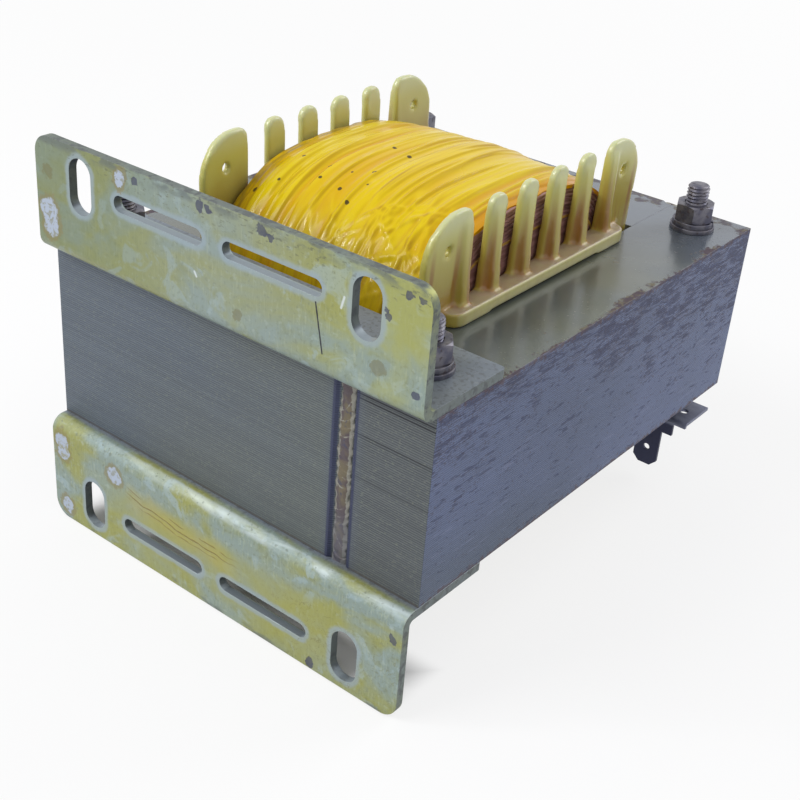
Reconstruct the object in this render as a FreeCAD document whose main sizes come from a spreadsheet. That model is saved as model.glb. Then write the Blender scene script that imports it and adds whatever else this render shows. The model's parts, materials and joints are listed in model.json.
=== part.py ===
import FreeCAD, Part
import math
import os
import PartDesign
import Sketcher

# A chassis transformer on a welded EI core, in millimetres.
# +X runs along the legs of the core, from the closed yoke to the welded one.
# +Y runs from the mounting face into the object.
# +Z is the direction in which the sheets are stacked.
# The origin is the centre of the mounting face, midway between the two brackets.

SIZES = [
    ("lamination_unit", 20.0, "width of an outer leg and of a window"),
    ("stack_height", 41.0, "height of the stack of sheets"),
    ("core_hole_diameter", 5.8, "hole for a stud in each corner of the core"),
    ("weld_groove_width", 5.0, "notch along the joint of the two stacks, at its mouth"),
    ("weld_groove_floor", 2.6, "notch, at its floor"),
    ("weld_groove_depth", 1.1, "notch, from its mouth to its floor"),
    ("bead_radius", 1.15, "half width of the weld bead in its waists"),
    ("bead_swell", 0.15, "how far each drop of weld swells past the waists"),
    ("bracket_thickness", 2.0, "sheet of the two brackets"),
    ("bracket_bend_radius", 3.0, "outside of the bend"),
    ("bracket_standoff", 2.2, "space between the upright and the core"),
    ("bracket_upright", 25.2, "how far the upright rises past the core"),
    ("bracket_reach", 20.3, "how far the leg lies over the core"),
    ("bracket_corner_radius", 4.0, "free corners of the upright"),
    ("bracket_leg_corner", 1.0, "free corners of the leg"),
    ("slot_line", 17.2, "height of the slot centres past the core"),
    ("end_slot_width", 6.4, "upright slots near the ends"),
    ("end_slot_length", 11.8, "upright slots, end to end"),
    ("end_slot_place", 36.5, "upright slots, from the middle"),
    ("long_slot_width", 3.4, "level slots"),
    ("long_slot_length", 24.0, "level slots, end to end"),
    ("long_slot_place", 14.6, "level slots, from the middle"),
    ("leg_clearance", 0.3, "between the bobbin and the centre leg"),
    ("window_clearance", 0.7, "between a flange and the yoke that it faces"),
    ("flange_side_gap", 1.2, "between a flange and the outer legs"),
    ("tube_wall", 1.4, "wall of the bobbin's tube"),
    ("flange_wall", 1.8, "wall of the bobbin's two flanges"),
    ("comb_height", 23.1, "how far the fingers rise past the core"),
    ("comb_root", 3.0, "how far the slots' floors lie past the core"),
    ("comb_flare", 1.0, "how far the fingertips lean away from the coil"),
    ("finger_width", 5.5, "narrow fingers"),
    ("finger_round", 2.6, "both corners of a narrow fingertip"),
    ("finger_pitch", 10.95, "narrow fingers, centre to centre"),
    ("end_finger_width", 13.7, "wide fingers at the ends of a comb"),
    ("end_finger_shoulder", 9.8, "outer corner of a wide finger"),
    ("end_finger_corner", 2.7, "inner corner of a wide finger"),
    ("end_finger_hole", 2.0, "hole in a wide finger"),
    ("end_finger_hole_height", 15.5, "height of that hole past the core"),
    ("rib_thickness", 2.9, "rib behind a finger"),
    ("rib_foot", 1.8, "depth of a rib at its foot"),
    ("rib_head", 0.4, "depth of a rib at its head"),
    ("foot_reach", 3.8, "how far a foot plate lies over the yoke"),
    ("foot_thickness", 3.0, "foot plate"),
    ("foot_length", 64.6, "foot plate"),
    ("foot_corner", 3.4, "outer corners of a foot plate"),
    ("winding_clearance", 0.25, "between a winding and a flange"),
    ("primary_build", 8.0, "depth of the inner winding"),
    ("insulation_build", 0.6, "tape between the windings"),
    ("secondary_build", 7.4, "depth of the outer winding"),
    ("tape_build", 0.8, "outer tape"),
    ("coil_flatness", 1.4, "how much thinner the coil is past the core than in the window"),
    ("coil_crown", 1.5, "how far the middle of the coil bulges past its ends"),
    ("stud_diameter", 5.0, "threaded rod"),
    ("stud_chamfer", 0.5, "both ends of a rod"),
    ("thread_clearance", 0.05, "between a rod and the bore of its nut"),
    ("stud_end", 4.3, "rod that stands out of its nut"),
    ("nut_flats", 8.0, "hexagon, across the flats"),
    ("nut_height", 4.0, "hexagon"),
    ("nut_chamfer", 0.35, "height of the bevel at each end of a nut"),
    ("washer_diameter", 10.0, "plain washer"),
    ("washer_thickness", 1.0, "plain washer"),
    ("lock_washer_diameter", 9.2, "split washer"),
    ("lock_washer_thickness", 1.2, "split washer"),
    ("lock_washer_split", 0.9, "gap in the split washer"),
    ("washer_bore", 5.3, "both washers"),
    ("terminal_thickness", 0.8, "sheet of the terminal"),
    ("terminal_width", 11.6, "plate of the terminal"),
    ("terminal_reach", 10.7, "plate, from the rod to its free end"),
    ("terminal_back", 5.6, "plate, from the rod to its other end"),
    ("terminal_bend", 1.0, "outside of the bend to the blade"),
    ("tab_hole_diameter", 2.0, "hole in the free end"),
    ("tab_hole_place", 7.2, "that hole, from the rod"),
    ("blade_place", 1.8, "middle of the blade, from the rod"),
    ("blade_width", 6.3, "blade"),
    ("blade_shoulder", 11.6, "wide root of the blade"),
    ("blade_root", 4.5, "depth of that root"),
    ("blade_length", 14.7, "blade, from the top of the plate to its tip"),
    ("blade_corner", 1.6, "corners of the tip"),
    ("blade_hole_diameter", 1.65, "latch hole of the blade"),
    ("blade_hole_place", 10.0, "latch hole, from the top of the plate"),
]

NARROW_FINGERS = 4
BEAD_DROPS = 15
NUT_SIDES = 6
HALF_TURN = 180.0
FULL_TURN = 360.0
QUADRANTS = [(1, 1), (-1, 1), (-1, -1), (1, -1)]
SECTION_POINTS = 24
CUT_MARGIN = 1.0
NUT_OVERCUT = 1.1
PRIMARY_SQUARENESS = 3.8
OUTER_SQUARENESS = 2.85
NUT_TURNS = {"front_left": 24.0, "front_right": 9.0, "rear_left": 41.0, "rear_right": -7.0}
SPLIT_TURNS = {"front_left": 200.0, "front_right": 130.0, "rear_left": 80.0, "rear_right": 15.0}


class Size:
    """A length that holds its number and the expression that gives it from the sheet."""

    def __init__(self, number, text):
        self.number = number
        self.text = text

    def joined(self, sign, other, number):
        return Size(number, f"({self.text} {sign} {as_size(other).text})")

    def __add__(self, other):
        return self.joined("+", other, self.number + as_size(other).number)

    def __sub__(self, other):
        return self.joined("-", other, self.number - as_size(other).number)

    def __mul__(self, other):
        return self.joined("*", other, self.number * as_size(other).number)

    def __truediv__(self, other):
        return self.joined("/", other, self.number / as_size(other).number)

    def __neg__(self):
        return self * -1.0


def as_size(value):
    """A plain number becomes a size whose expression is that number."""
    return value if isinstance(value, Size) else Size(float(value), f"{float(value):.9f}")


doc = FreeCAD.newDocument("ei_core_transformer")
sheet = doc.addObject("Spreadsheet::Sheet", "Sizes")
size = {}
for row, (alias, number, note) in enumerate(SIZES, start=1):
    sheet.set(f"A{row}", alias)
    sheet.set(f"B{row}", str(number))
    sheet.set(f"C{row}", note)
    sheet.setAlias(f"B{row}", alias)
    size[alias] = Size(number, f"Sizes.{alias}")
doc.recompute()


# Places that several pieces share
ZERO = as_size(0.0)
unit = size["lamination_unit"]
core_front = size["bracket_standoff"] + size["bracket_thickness"]
core_back = core_front + unit * 6.0
core_middle = core_front + unit * 3.0
core_top = size["stack_height"] / 2.0
yoke_end = unit * 2.5
joint_place = unit * 1.5
stud_x = unit * 2.0
stud_front_y = core_front + unit / 2.0
stud_rear_y = core_back - unit / 2.0
leg_top = core_top + size["bracket_thickness"]
flange_outer = joint_place - size["window_clearance"]
flange_inner = flange_outer - size["flange_wall"]
flange_half_width = unit * 2.0 - size["flange_side_gap"]
tube_half_width = unit + size["leg_clearance"] + size["tube_wall"]
tube_half_height = core_top + size["leg_clearance"] + size["tube_wall"]
comb_tip = core_top + size["comb_height"]
comb_floor = core_top + size["comb_root"]
rear_nut_foot = core_top + size["washer_thickness"]
terminal_top = -(rear_nut_foot + size["nut_height"])


# Helpers for sketches and features

def origin_plane(body, role):
    """One of the body's own three origin planes, such as XY_Plane."""
    return [plane for plane in body.Origin.OriginFeatures if plane.Role == role][0]


def new_body(label, places=(ZERO, ZERO, ZERO), turn=0.0, axis=(0, 0, 1)):
    """A body with a placement whose three coordinates follow the sheet."""
    body = doc.addObject("PartDesign::Body", label)
    body.Label = label
    spin = FreeCAD.Rotation(FreeCAD.Vector(*axis), turn)
    body.Placement = FreeCAD.Placement(FreeCAD.Vector(*[place.number for place in places]), spin)
    for letter, place in zip("xyz", places):
        if place is not ZERO:
            body.setExpression(f"Placement.Base.{letter}", place.text)
    return body


def new_sketch(body, role, name, offset=ZERO):
    """A sketch on an origin plane of the body, moved along the plane's normal."""
    sketch = body.newObject("Sketcher::SketchObject", f"{body.Label}_{name}")
    sketch.AttachmentSupport = [(origin_plane(body, role), "")]
    sketch.MapMode = "FlatFace"
    if offset is not ZERO:
        sketch.AttachmentOffset = FreeCAD.Placement(
            FreeCAD.Vector(0, 0, offset.number), FreeCAD.Rotation())
        sketch.setExpression("AttachmentOffset.Base.z", offset.text)
    return sketch


def bind(sketch, kind, *where):
    """A dimensional constraint whose value, the last item, follows the sheet."""
    value = where[-1]
    index = sketch.addConstraint(Sketcher.Constraint(kind, *where[:-1], value.number))
    sketch.setExpression(f"Constraints[{index}]", value.text)


def place_point(sketch, geometry, vertex, x, y):
    """Fix one point of a sketch by its two coordinates."""
    for kind, value, zero_axis in (("DistanceX", as_size(x), -2), ("DistanceY", as_size(y), -1)):
        if abs(value.number) < 1e-9:
            sketch.addConstraint(Sketcher.Constraint("PointOnObject", geometry, vertex, zero_axis))
        else:
            bind(sketch, kind, geometry, vertex, value)


def polygon(sketch, points):
    """A closed outline of straight lines through points given as sizes."""
    points = [(as_size(x), as_size(y)) for x, y in points]
    corners = [FreeCAD.Vector(x.number, y.number, 0) for x, y in points]
    first = sketch.GeometryCount
    count = len(points)
    for i in range(count):
        sketch.addGeometry(Part.LineSegment(corners[i], corners[(i + 1) % count]), False)
    for i in range(count):
        following = first + (i + 1) % count
        sketch.addConstraint(Sketcher.Constraint("Coincident", first + i, 2, following, 1))
    for i, (x, y) in enumerate(points):
        place_point(sketch, first + i, 1, x, y)


def rectangle(sketch, low_x, high_x, low_y, high_y):
    """An upright rectangle between two pairs of sizes."""
    polygon(sketch, [(low_x, low_y), (high_x, low_y), (high_x, high_y), (low_x, high_y)])


def circle(sketch, x, y, radius):
    """A circle placed by its centre."""
    x, y, radius = as_size(x), as_size(y), as_size(radius)
    centre = FreeCAD.Vector(x.number, y.number, 0)
    index = sketch.addGeometry(Part.Circle(centre, FreeCAD.Vector(0, 0, 1), radius.number), False)
    bind(sketch, "Radius", index, radius)
    place_point(sketch, index, 3, x, y)


def slot(sketch, x, y, length, width, upright=False):
    """A round-ended slot: two half circles joined by two tangent lines."""
    x, y, length, width = as_size(x), as_size(y), as_size(length), as_size(width)
    half = (length - width) / 2.0
    radius = width / 2.0
    along = (0, 1) if upright else (1, 0)
    heading = math.atan2(along[1], along[0])
    ends = []
    for side in (1.0, -1.0):
        end_x = x + half * side if along[0] else x
        end_y = y + half * side if along[1] else y
        start = heading - math.pi / 2.0 if side > 0 else heading + math.pi / 2.0
        centre = FreeCAD.Vector(end_x.number, end_y.number, 0)
        whole = Part.Circle(centre, FreeCAD.Vector(0, 0, 1), radius.number)
        arc = Part.ArcOfCircle(whole, start, start + math.pi)
        ends.append((sketch.addGeometry(arc, False), arc, end_x, end_y))
    (near, near_arc, near_x, near_y), (far, far_arc, far_x, far_y) = ends
    there = sketch.addGeometry(Part.LineSegment(near_arc.EndPoint, far_arc.StartPoint), False)
    back = sketch.addGeometry(Part.LineSegment(far_arc.EndPoint, near_arc.StartPoint), False)
    for a, a_point, b, b_point in ((near, 2, there, 1), (there, 2, far, 1),
                                   (far, 2, back, 1), (back, 2, near, 1)):
        sketch.addConstraint(Sketcher.Constraint("Tangent", a, a_point, b, b_point))
    sketch.addConstraint(Sketcher.Constraint("Equal", near, far))
    bind(sketch, "Radius", near, radius)
    place_point(sketch, near, 3, near_x, near_y)
    place_point(sketch, far, 3, far_x, far_y)


def feature(body, kind, sketch, name):
    """A sketch-based feature of the body."""
    made = body.newObject(f"PartDesign::{kind}", f"{body.Label}_{name}")
    made.Profile = sketch
    sketch.Visibility = False
    return made


def pad(body, sketch, name, length, symmetric=False):
    """Raise a sketch by a length, along its normal or to both sides."""
    made = feature(body, "Pad", sketch, name)
    made.Length = length.number
    made.setExpression("Length", length.text)
    if symmetric:
        made.SideType = "Symmetric"
    doc.recompute()
    return made


def cut_through(body, sketch, name):
    """Cut a sketch through the whole body, to both sides, and see that it removes something."""
    before = body.Shape.Volume
    made = feature(body, "Pocket", sketch, name)
    made.Type = "ThroughAll"
    made.SideType = "Symmetric"
    doc.recompute()
    if not body.Shape.Volume < before:
        raise ValueError(f"{body.Label}: {name} cuts nothing")
    return made


def revolve(body, kind, sketch, name, angle=FULL_TURN):
    """Turn a sketch about its own upright axis, to add or to cut."""
    made = feature(body, kind, sketch, name)
    made.ReferenceAxis = (sketch, ["V_Axis"])
    made.Angle = angle
    doc.recompute()
    return made


def fillet(body, name, radius, chosen):
    """Round the edges of the body that the test picks."""
    base = body.Tip
    edges = [f"Edge{i}" for i, edge in enumerate(base.Shape.Edges, start=1) if chosen(edge)]
    if not edges:
        raise ValueError(f"{body.Label}: {name} finds no edge")
    made = body.newObject("PartDesign::Fillet", f"{body.Label}_{name}")
    made.Base = (base, edges)
    made.Radius = radius.number
    made.setExpression("Radius", radius.text)
    doc.recompute()
    return made


def near(value, wanted):
    """Whether two lengths are the same but for rounding."""
    return abs(value - as_size(wanted).number) < 1e-4


def straight_along(edge, letter):
    """Whether an edge is a straight line along X, Y or Z."""
    if edge.Curve.TypeId != "Part::GeomLine":
        return False
    return near(abs(getattr(edge.Curve.Direction, letter)), 1.0)


def line_at(edge, y, z):
    """Whether an edge is a straight line along X at a given Y and Z."""
    centre = edge.CenterOfMass
    return straight_along(edge, "x") and near(centre.y, y) and near(centre.z, z)


# The laminated core: an E-shaped and an I-shaped stack, notched for the weld at their joint

def notch_half(y_face, inward, side):
    """Half of the weld notch at an end of the joint: its mouth, its wall and its floor."""
    floor = y_face + size["weld_groove_depth"] * inward
    return [
        (joint_place + size["weld_groove_width"] / 2.0 * side, y_face),
        (joint_place + size["weld_groove_floor"] / 2.0 * side, floor),
        (joint_place, floor),
    ]


def stud_holes(body, places):
    """The holes for the studs, each a clearance hole through the stack."""
    holes = new_sketch(body, "XY_Plane", "holes")
    for x, y in places:
        circle(holes, x, y, size["core_hole_diameter"] / 2.0)
    cut_through(body, holes, "hole_cut")


def build_core():
    """The E stack with its two windows, and the I stack that closes them."""
    e_stack = new_body("core_e_stack")
    outline = new_sketch(e_stack, "XY_Plane", "outline")
    window_floor = joint_place * -1.0
    points = [(-yoke_end, core_front)]
    points += notch_half(core_front, 1.0, -1.0)
    points += [
        (joint_place, core_front + unit),
        (window_floor, core_front + unit),
        (window_floor, core_front + unit * 2.0),
        (joint_place, core_front + unit * 2.0),
        (joint_place, core_front + unit * 4.0),
        (window_floor, core_front + unit * 4.0),
        (window_floor, core_front + unit * 5.0),
        (joint_place, core_front + unit * 5.0),
    ]
    points += reversed(notch_half(core_back, -1.0, -1.0))
    points += [(-yoke_end, core_back)]
    polygon(outline, points)
    pad(e_stack, outline, "stack", size["stack_height"], symmetric=True)
    stud_holes(e_stack, [(-stud_x, stud_front_y), (-stud_x, stud_rear_y)])

    i_stack = new_body("core_i_stack")
    outline = new_sketch(i_stack, "XY_Plane", "outline")
    points = [(yoke_end, core_front), (yoke_end, core_back)]
    points += notch_half(core_back, -1.0, 1.0)
    points += reversed(notch_half(core_front, 1.0, 1.0))
    polygon(outline, points)
    pad(i_stack, outline, "stack", size["stack_height"], symmetric=True)
    stud_holes(i_stack, [(stud_x, stud_front_y), (stud_x, stud_rear_y)])


def build_weld_bead(label, floor, outward):
    """A bead of overlapping drops: half of a notched bar that stands on the notch's floor."""
    bead = new_body(label, (joint_place, floor, ZERO), HALF_TURN if outward < 0 else 0.0)
    profile = new_sketch(bead, "XZ_Plane", "profile")
    drop = size["stack_height"] / BEAD_DROPS
    waist = size["bead_radius"]
    crest = waist + size["bead_swell"]
    points = [(ZERO, -core_top)]
    for i in range(BEAD_DROPS):
        points.append((waist, drop * i - core_top))
        points.append((crest, drop * (i + 0.5) - core_top))
    points += [(waist, core_top), (ZERO, core_top)]
    polygon(profile, points)
    revolve(bead, "Revolution", profile, "half_bar", HALF_TURN)


# The two brackets: bent sheet, with slots in the upright and stud holes in the leg

def build_bracket(label, turn):
    """A bracket over the core; turned about Y it becomes the one below."""
    bracket = new_body(label, turn=turn, axis=(0, 1, 0))
    thick = size["bracket_thickness"]
    upright_top = core_top + size["bracket_upright"]
    leg_end = core_front + size["bracket_reach"]
    section = new_sketch(bracket, "YZ_Plane", "section")
    polygon(section, [
        (ZERO, core_top),
        (leg_end, core_top),
        (leg_end, leg_top),
        (thick, leg_top),
        (thick, upright_top),
        (ZERO, upright_top),
    ])
    pad(bracket, section, "sheet", yoke_end * 2.0, symmetric=True)

    bend = size["bracket_bend_radius"]
    fillet(bracket, "outer_bend", bend, lambda edge: line_at(edge, ZERO, core_top))
    fillet(bracket, "inner_bend", bend - thick, lambda edge: line_at(edge, thick, leg_top))
    fillet(bracket, "upright_corners", size["bracket_corner_radius"],
           lambda edge: straight_along(edge, "y") and near(edge.CenterOfMass.z, upright_top))
    fillet(bracket, "leg_corners", size["bracket_leg_corner"],
           lambda edge: straight_along(edge, "z") and near(edge.CenterOfMass.y, leg_end))

    slots = new_sketch(bracket, "XZ_Plane", "slots")
    height = core_top + size["slot_line"]
    for side in (-1.0, 1.0):
        slot(slots, size["end_slot_place"] * side, height,
             size["end_slot_length"], size["end_slot_width"], upright=True)
        slot(slots, size["long_slot_place"] * side, height,
             size["long_slot_length"], size["long_slot_width"])
    cut_through(bracket, slots, "slot_cut")
    stud_holes(bracket, [(-stud_x, stud_front_y), (stud_x, stud_front_y)])


# The bobbin: one moulding with a tube, two flanges, four combs of fingers and four foot plates

def narrow_finger_places():
    """Where the narrow fingers stand across the comb, evenly about its middle."""
    first = core_middle - size["finger_pitch"] * ((NARROW_FINGERS - 1) / 2.0)
    return [first + size["finger_pitch"] * i for i in range(NARROW_FINGERS)]


def wide_finger_rib_places():
    """Where the ribs of the two wide fingers stand: along their inner sides."""
    inset = flange_half_width - size["end_finger_width"] + size["rib_thickness"] / 2.0
    return [core_middle - inset, core_middle + inset]


def finger_gaps():
    """The five gaps of a comb, each from the side of one finger to the side of the next."""
    half = size["finger_width"] / 2.0
    wide_side = flange_half_width - size["end_finger_width"]
    sides = [core_middle - wide_side]
    for y in narrow_finger_places():
        sides += [y - half, y + half]
    sides.append(core_middle + wide_side)
    return list(zip(sides[::2], sides[1::2]))


def leaning(x, z, end, face):
    """A point of a flange's section: the wall leans away from the coil past the core."""
    lean = size["comb_flare"] * ((z - core_top) / size["comb_height"])
    return ((x + lean) * end, z * face)


def flange_wall(bobbin, end):
    """One flange: upright in the window, leaning out above and below the core."""
    side = "left" if end < 0 else "right"
    # the XZ plane's normal points to -Y
    section = new_sketch(bobbin, "XZ_Plane", f"{side}_section", -core_middle)
    polygon(section, [
        leaning(flange_inner, core_top, end, -1.0),
        leaning(flange_inner, core_top, end, 1.0),
        leaning(flange_inner, comb_tip, end, 1.0),
        leaning(flange_outer, comb_tip, end, 1.0),
        leaning(flange_outer, core_top, end, 1.0),
        leaning(flange_outer, core_top, end, -1.0),
        leaning(flange_outer, comb_tip, end, -1.0),
        leaning(flange_inner, comb_tip, end, -1.0),
    ])
    pad(bobbin, section, f"{side}_wall", flange_half_width * 2.0, symmetric=True)


def foot_plates(bobbin):
    """The four plates that lie on the yokes along the feet of the combs."""
    half = size["foot_length"] / 2.0
    thick = size["foot_thickness"]
    for name, low_face in (("upper_feet", core_top), ("lower_feet", -core_top - thick)):
        outline = new_sketch(bobbin, "XY_Plane", f"{name}_outline", low_face)
        for end in (-1.0, 1.0):
            rectangle(outline, flange_outer * end, (flange_outer + size["foot_reach"]) * end,
                      core_middle - half, core_middle + half)
        pad(bobbin, outline, name, thick)
    fillet(bobbin, "foot_corners", size["foot_corner"],
           lambda edge: straight_along(edge, "z")
           and near(abs(edge.CenterOfMass.x), flange_outer + size["foot_reach"]))


def finger_ribs(bobbin):
    """A tapering rib behind each finger, from the core to the root of its round tip."""
    wall_middle = (flange_inner + flange_outer) / 2.0
    rib_top = comb_tip - size["finger_width"] / 2.0
    for i, y in enumerate(narrow_finger_places() + wide_finger_rib_places()):
        # the XZ plane's normal points to -Y
        rib = new_sketch(bobbin, "XZ_Plane", f"rib_{i}", -y)
        for end, face in QUADRANTS:
            polygon(rib, [
                leaning(wall_middle, core_top, end, face),
                leaning(flange_outer + size["rib_foot"], core_top, end, face),
                leaning(flange_outer + size["rib_foot"], comb_floor, end, face),
                leaning(flange_outer + size["rib_head"], rib_top, end, face),
                leaning(wall_middle, rib_top, end, face),
            ])
        pad(bobbin, rib, f"rib_{i}_pad", size["rib_thickness"], symmetric=True)


def build_bobbin():
    """The moulding, made from its tube outwards."""
    bobbin = new_body("bobbin")
    tube = new_sketch(bobbin, "YZ_Plane", "tube")
    rectangle(tube, core_middle - tube_half_width, core_middle + tube_half_width,
              -tube_half_height, tube_half_height)
    pad(bobbin, tube, "tube_pad", flange_outer * 2.0, symmetric=True)
    for end in (-1.0, 1.0):
        flange_wall(bobbin, end)

    gaps = new_sketch(bobbin, "YZ_Plane", "finger_gaps")
    for low_y, high_y in finger_gaps():
        rectangle(gaps, low_y, high_y, comb_floor, comb_tip + CUT_MARGIN)
        rectangle(gaps, low_y, high_y, -comb_tip - CUT_MARGIN, -comb_floor)
    cut_through(bobbin, gaps, "finger_gap_cut")

    def tip_edge(edge, low, high):
        """A tip's edge whose distance from the comb's middle lies between two lengths."""
        if not straight_along(edge, "x") or not near(abs(edge.CenterOfMass.z), comb_tip):
            return False
        return low.number < abs(edge.CenterOfMass.y - core_middle.number) < high.number

    wide_side = flange_half_width - size["end_finger_width"]
    before = wide_side - size["finger_round"]
    after = wide_side + size["finger_round"]
    fillet(bobbin, "shoulders", size["end_finger_shoulder"],
           lambda edge: tip_edge(edge, after, unit * 2.0))
    fillet(bobbin, "inner_corners", size["end_finger_corner"],
           lambda edge: tip_edge(edge, before, after))
    fillet(bobbin, "round_tips", size["finger_round"], lambda edge: tip_edge(edge, ZERO, before))
    foot_plates(bobbin)
    finger_ribs(bobbin)

    bore = new_sketch(bobbin, "YZ_Plane", "bore")
    half_width = unit + size["leg_clearance"]
    half_height = core_top + size["leg_clearance"]
    rectangle(bore, core_middle - half_width, core_middle + half_width, -half_height, half_height)
    cut_through(bobbin, bore, "bore_cut")

    holes = new_sketch(bobbin, "YZ_Plane", "finger_holes")
    across = flange_half_width - size["end_finger_width"] / 2.0
    hole_height = core_top + size["end_finger_hole_height"]
    for y_side, z_side in QUADRANTS:
        circle(holes, core_middle + across * y_side, hole_height * z_side,
               size["end_finger_hole"] / 2.0)
    cut_through(bobbin, holes, "finger_hole_cut")


# The coil: nested layers, each a crowned oval with the one inside it taken away

def oval_wire(x, half_width, half_height, squareness):
    """A closed curve |y/half_width|^squareness + |z/half_height|^squareness = 1 at one x."""
    power = 2.0 / squareness
    points = []
    for i in range(SECTION_POINTS):
        angle = 2.0 * math.pi * (i + 0.5) / SECTION_POINTS
        y = half_width * math.copysign(abs(math.cos(angle)) ** power, math.cos(angle))
        z = half_height * math.copysign(abs(math.sin(angle)) ** power, math.sin(angle))
        points.append(FreeCAD.Vector(x, core_middle.number + y, z))
    curve = Part.BSplineCurve()
    curve.interpolate(points, PeriodicFlag=True)
    return Part.Wire(curve.toShape())


def oval_block(half_length, half_width, half_height, squareness, crown):
    """A solid oval bar along X that is higher by the crown in its middle."""
    stations = [(-1.0, 0.0), (-0.5, 0.75), (0.0, 1.0), (0.5, 0.75), (1.0, 0.0)]
    if crown == 0.0:
        stations = [(-1.0, 0.0), (1.0, 0.0)]
    wires = [oval_wire(half_length * along, half_width, half_height + crown * rise, squareness)
             for along, rise in stations]
    return Part.makeLoft(wires, True, True)


def build_coil():
    """Inner winding, insulation, outer winding and the outer tape."""
    half_length = (flange_inner - size["winding_clearance"]).number
    width = tube_half_width.number
    height = tube_half_height.number
    full_build = sum(size[name].number for name in (
        "primary_build", "insulation_build", "secondary_build", "tape_build"))
    thinner = 1.0 - size["coil_flatness"].number / full_build
    crown = size["coil_crown"].number
    inside = Part.makeBox(4.0 * half_length, 2.0 * width, 2.0 * height,
                          FreeCAD.Vector(-2.0 * half_length, core_middle.number - width, -height))
    layers = [
        ("primary_winding", "primary_build", PRIMARY_SQUARENESS, 0.0),
        ("interlayer_insulation", "insulation_build", PRIMARY_SQUARENESS, 0.0),
        ("secondary_winding", "secondary_build", OUTER_SQUARENESS, crown),
        ("outer_tape", "tape_build", OUTER_SQUARENESS, crown),
    ]
    for label, build, squareness, rise in layers:
        width += size[build].number
        height += size[build].number * thinner
        block = oval_block(half_length, width, height, squareness, rise)
        layer = doc.addObject("Part::Feature", label)
        layer.Label = label
        layer.Shape = block.cut(inside)
        layer.Placement = FreeCAD.Placement()
        inside = block


# The fasteners: a threaded rod through each corner, with nuts and washers at both ends

def build_stud(label, x, y, low, high):
    """A rod with a bevel at each end, turned about its own axis."""
    stud = new_body(label, (x, y, ZERO))
    profile = new_sketch(stud, "XZ_Plane", "profile")
    radius = size["stud_diameter"] / 2.0
    bevel = size["stud_chamfer"]
    polygon(profile, [(ZERO, low), (radius - bevel, low), (radius, low + bevel),
                      (radius, high - bevel), (radius - bevel, high), (ZERO, high)])
    revolve(stud, "Revolution", profile, "rod")


def build_washer(label, x, y, foot, diameter, thick, split_turn=None):
    """A flat ring on its seat; the spring kind has a narrow gap."""
    turn = 0.0 if split_turn is None else split_turn
    washer = new_body(label, (x, y, foot), turn)
    ring = new_sketch(washer, "XY_Plane", "ring")
    circle(ring, ZERO, ZERO, diameter / 2.0)
    circle(ring, ZERO, ZERO, size["washer_bore"] / 2.0)
    pad(washer, ring, "ring_pad", thick)
    if split_turn is not None:
        gap = new_sketch(washer, "XY_Plane", "gap")
        half = size["lock_washer_split"] / 2.0
        rectangle(gap, ZERO, diameter, -half, half)
        cut_through(washer, gap, "gap_cut")


def build_nut(label, x, y, foot, turn):
    """A hexagon with bevelled corners and a bore for the rod."""
    nut = new_body(label, (x, y, foot), turn)
    hexagon = new_sketch(nut, "XY_Plane", "hexagon")
    corner = size["nut_flats"] / (2.0 * math.cos(math.pi / NUT_SIDES))
    points = []
    for i in range(NUT_SIDES):
        angle = 2.0 * math.pi * i / NUT_SIDES
        points.append((corner * math.cos(angle), corner * math.sin(angle)))
    polygon(hexagon, points)
    pad(nut, hexagon, "hexagon_pad", size["nut_height"])
    bevels = new_sketch(nut, "XZ_Plane", "bevels")
    flat = size["nut_flats"] / 2.0
    outside = corner * NUT_OVERCUT
    rise = size["nut_chamfer"] / (corner - flat) * (outside - flat)
    height = size["nut_height"]
    polygon(bevels, [(flat, height), (outside, height), (outside, height - rise)])
    polygon(bevels, [(flat, ZERO), (outside, ZERO), (outside, rise)])
    revolve(nut, "Groove", bevels, "bevel_cut")
    bore = new_sketch(nut, "XY_Plane", "bore")
    circle(bore, ZERO, ZERO, size["stud_diameter"] / 2.0 + size["thread_clearance"])
    cut_through(nut, bore, "bore_cut")


def build_fasteners():
    """The four corners, front ones through the brackets and rear ones on the bare core."""
    plain = size["washer_thickness"]
    spring = size["lock_washer_thickness"]
    nut = size["nut_height"]
    corners = {
        "front_left": (-stud_x, stud_front_y, leg_top),
        "front_right": (stud_x, stud_front_y, leg_top),
        "rear_left": (-stud_x, stud_rear_y, core_top),
        "rear_right": (stud_x, stud_rear_y, core_top),
    }
    for corner, (x, y, seat) in corners.items():
        turn = NUT_TURNS[corner]
        upper_foot = seat + plain + spring
        lower_foot = -seat - plain - nut
        low = lower_foot - size["stud_end"]
        if corner == "rear_right":
            low = terminal_top - size["terminal_thickness"] - nut - size["stud_end"] / 2.0
        build_stud(f"stud_{corner}", x, y, low, upper_foot + nut + size["stud_end"])
        build_washer(f"upper_washer_{corner}", x, y, seat, size["washer_diameter"], plain)
        build_washer(f"lock_washer_{corner}", x, y, seat + plain,
                     size["lock_washer_diameter"], spring, SPLIT_TURNS[corner])
        build_nut(f"upper_nut_{corner}", x, y, upper_foot, turn)
        build_washer(f"lower_washer_{corner}", x, y, -seat - plain, size["washer_diameter"], plain)
        build_nut(f"lower_nut_{corner}", x, y, lower_foot, turn + NUT_TURNS["front_left"])
    build_nut("terminal_nut", stud_x, stud_rear_y,
              terminal_top - size["terminal_thickness"] - nut, NUT_TURNS["front_right"])


# The terminal: a plate under the rear right rod with a flat tab and a blade bent down from it

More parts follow.
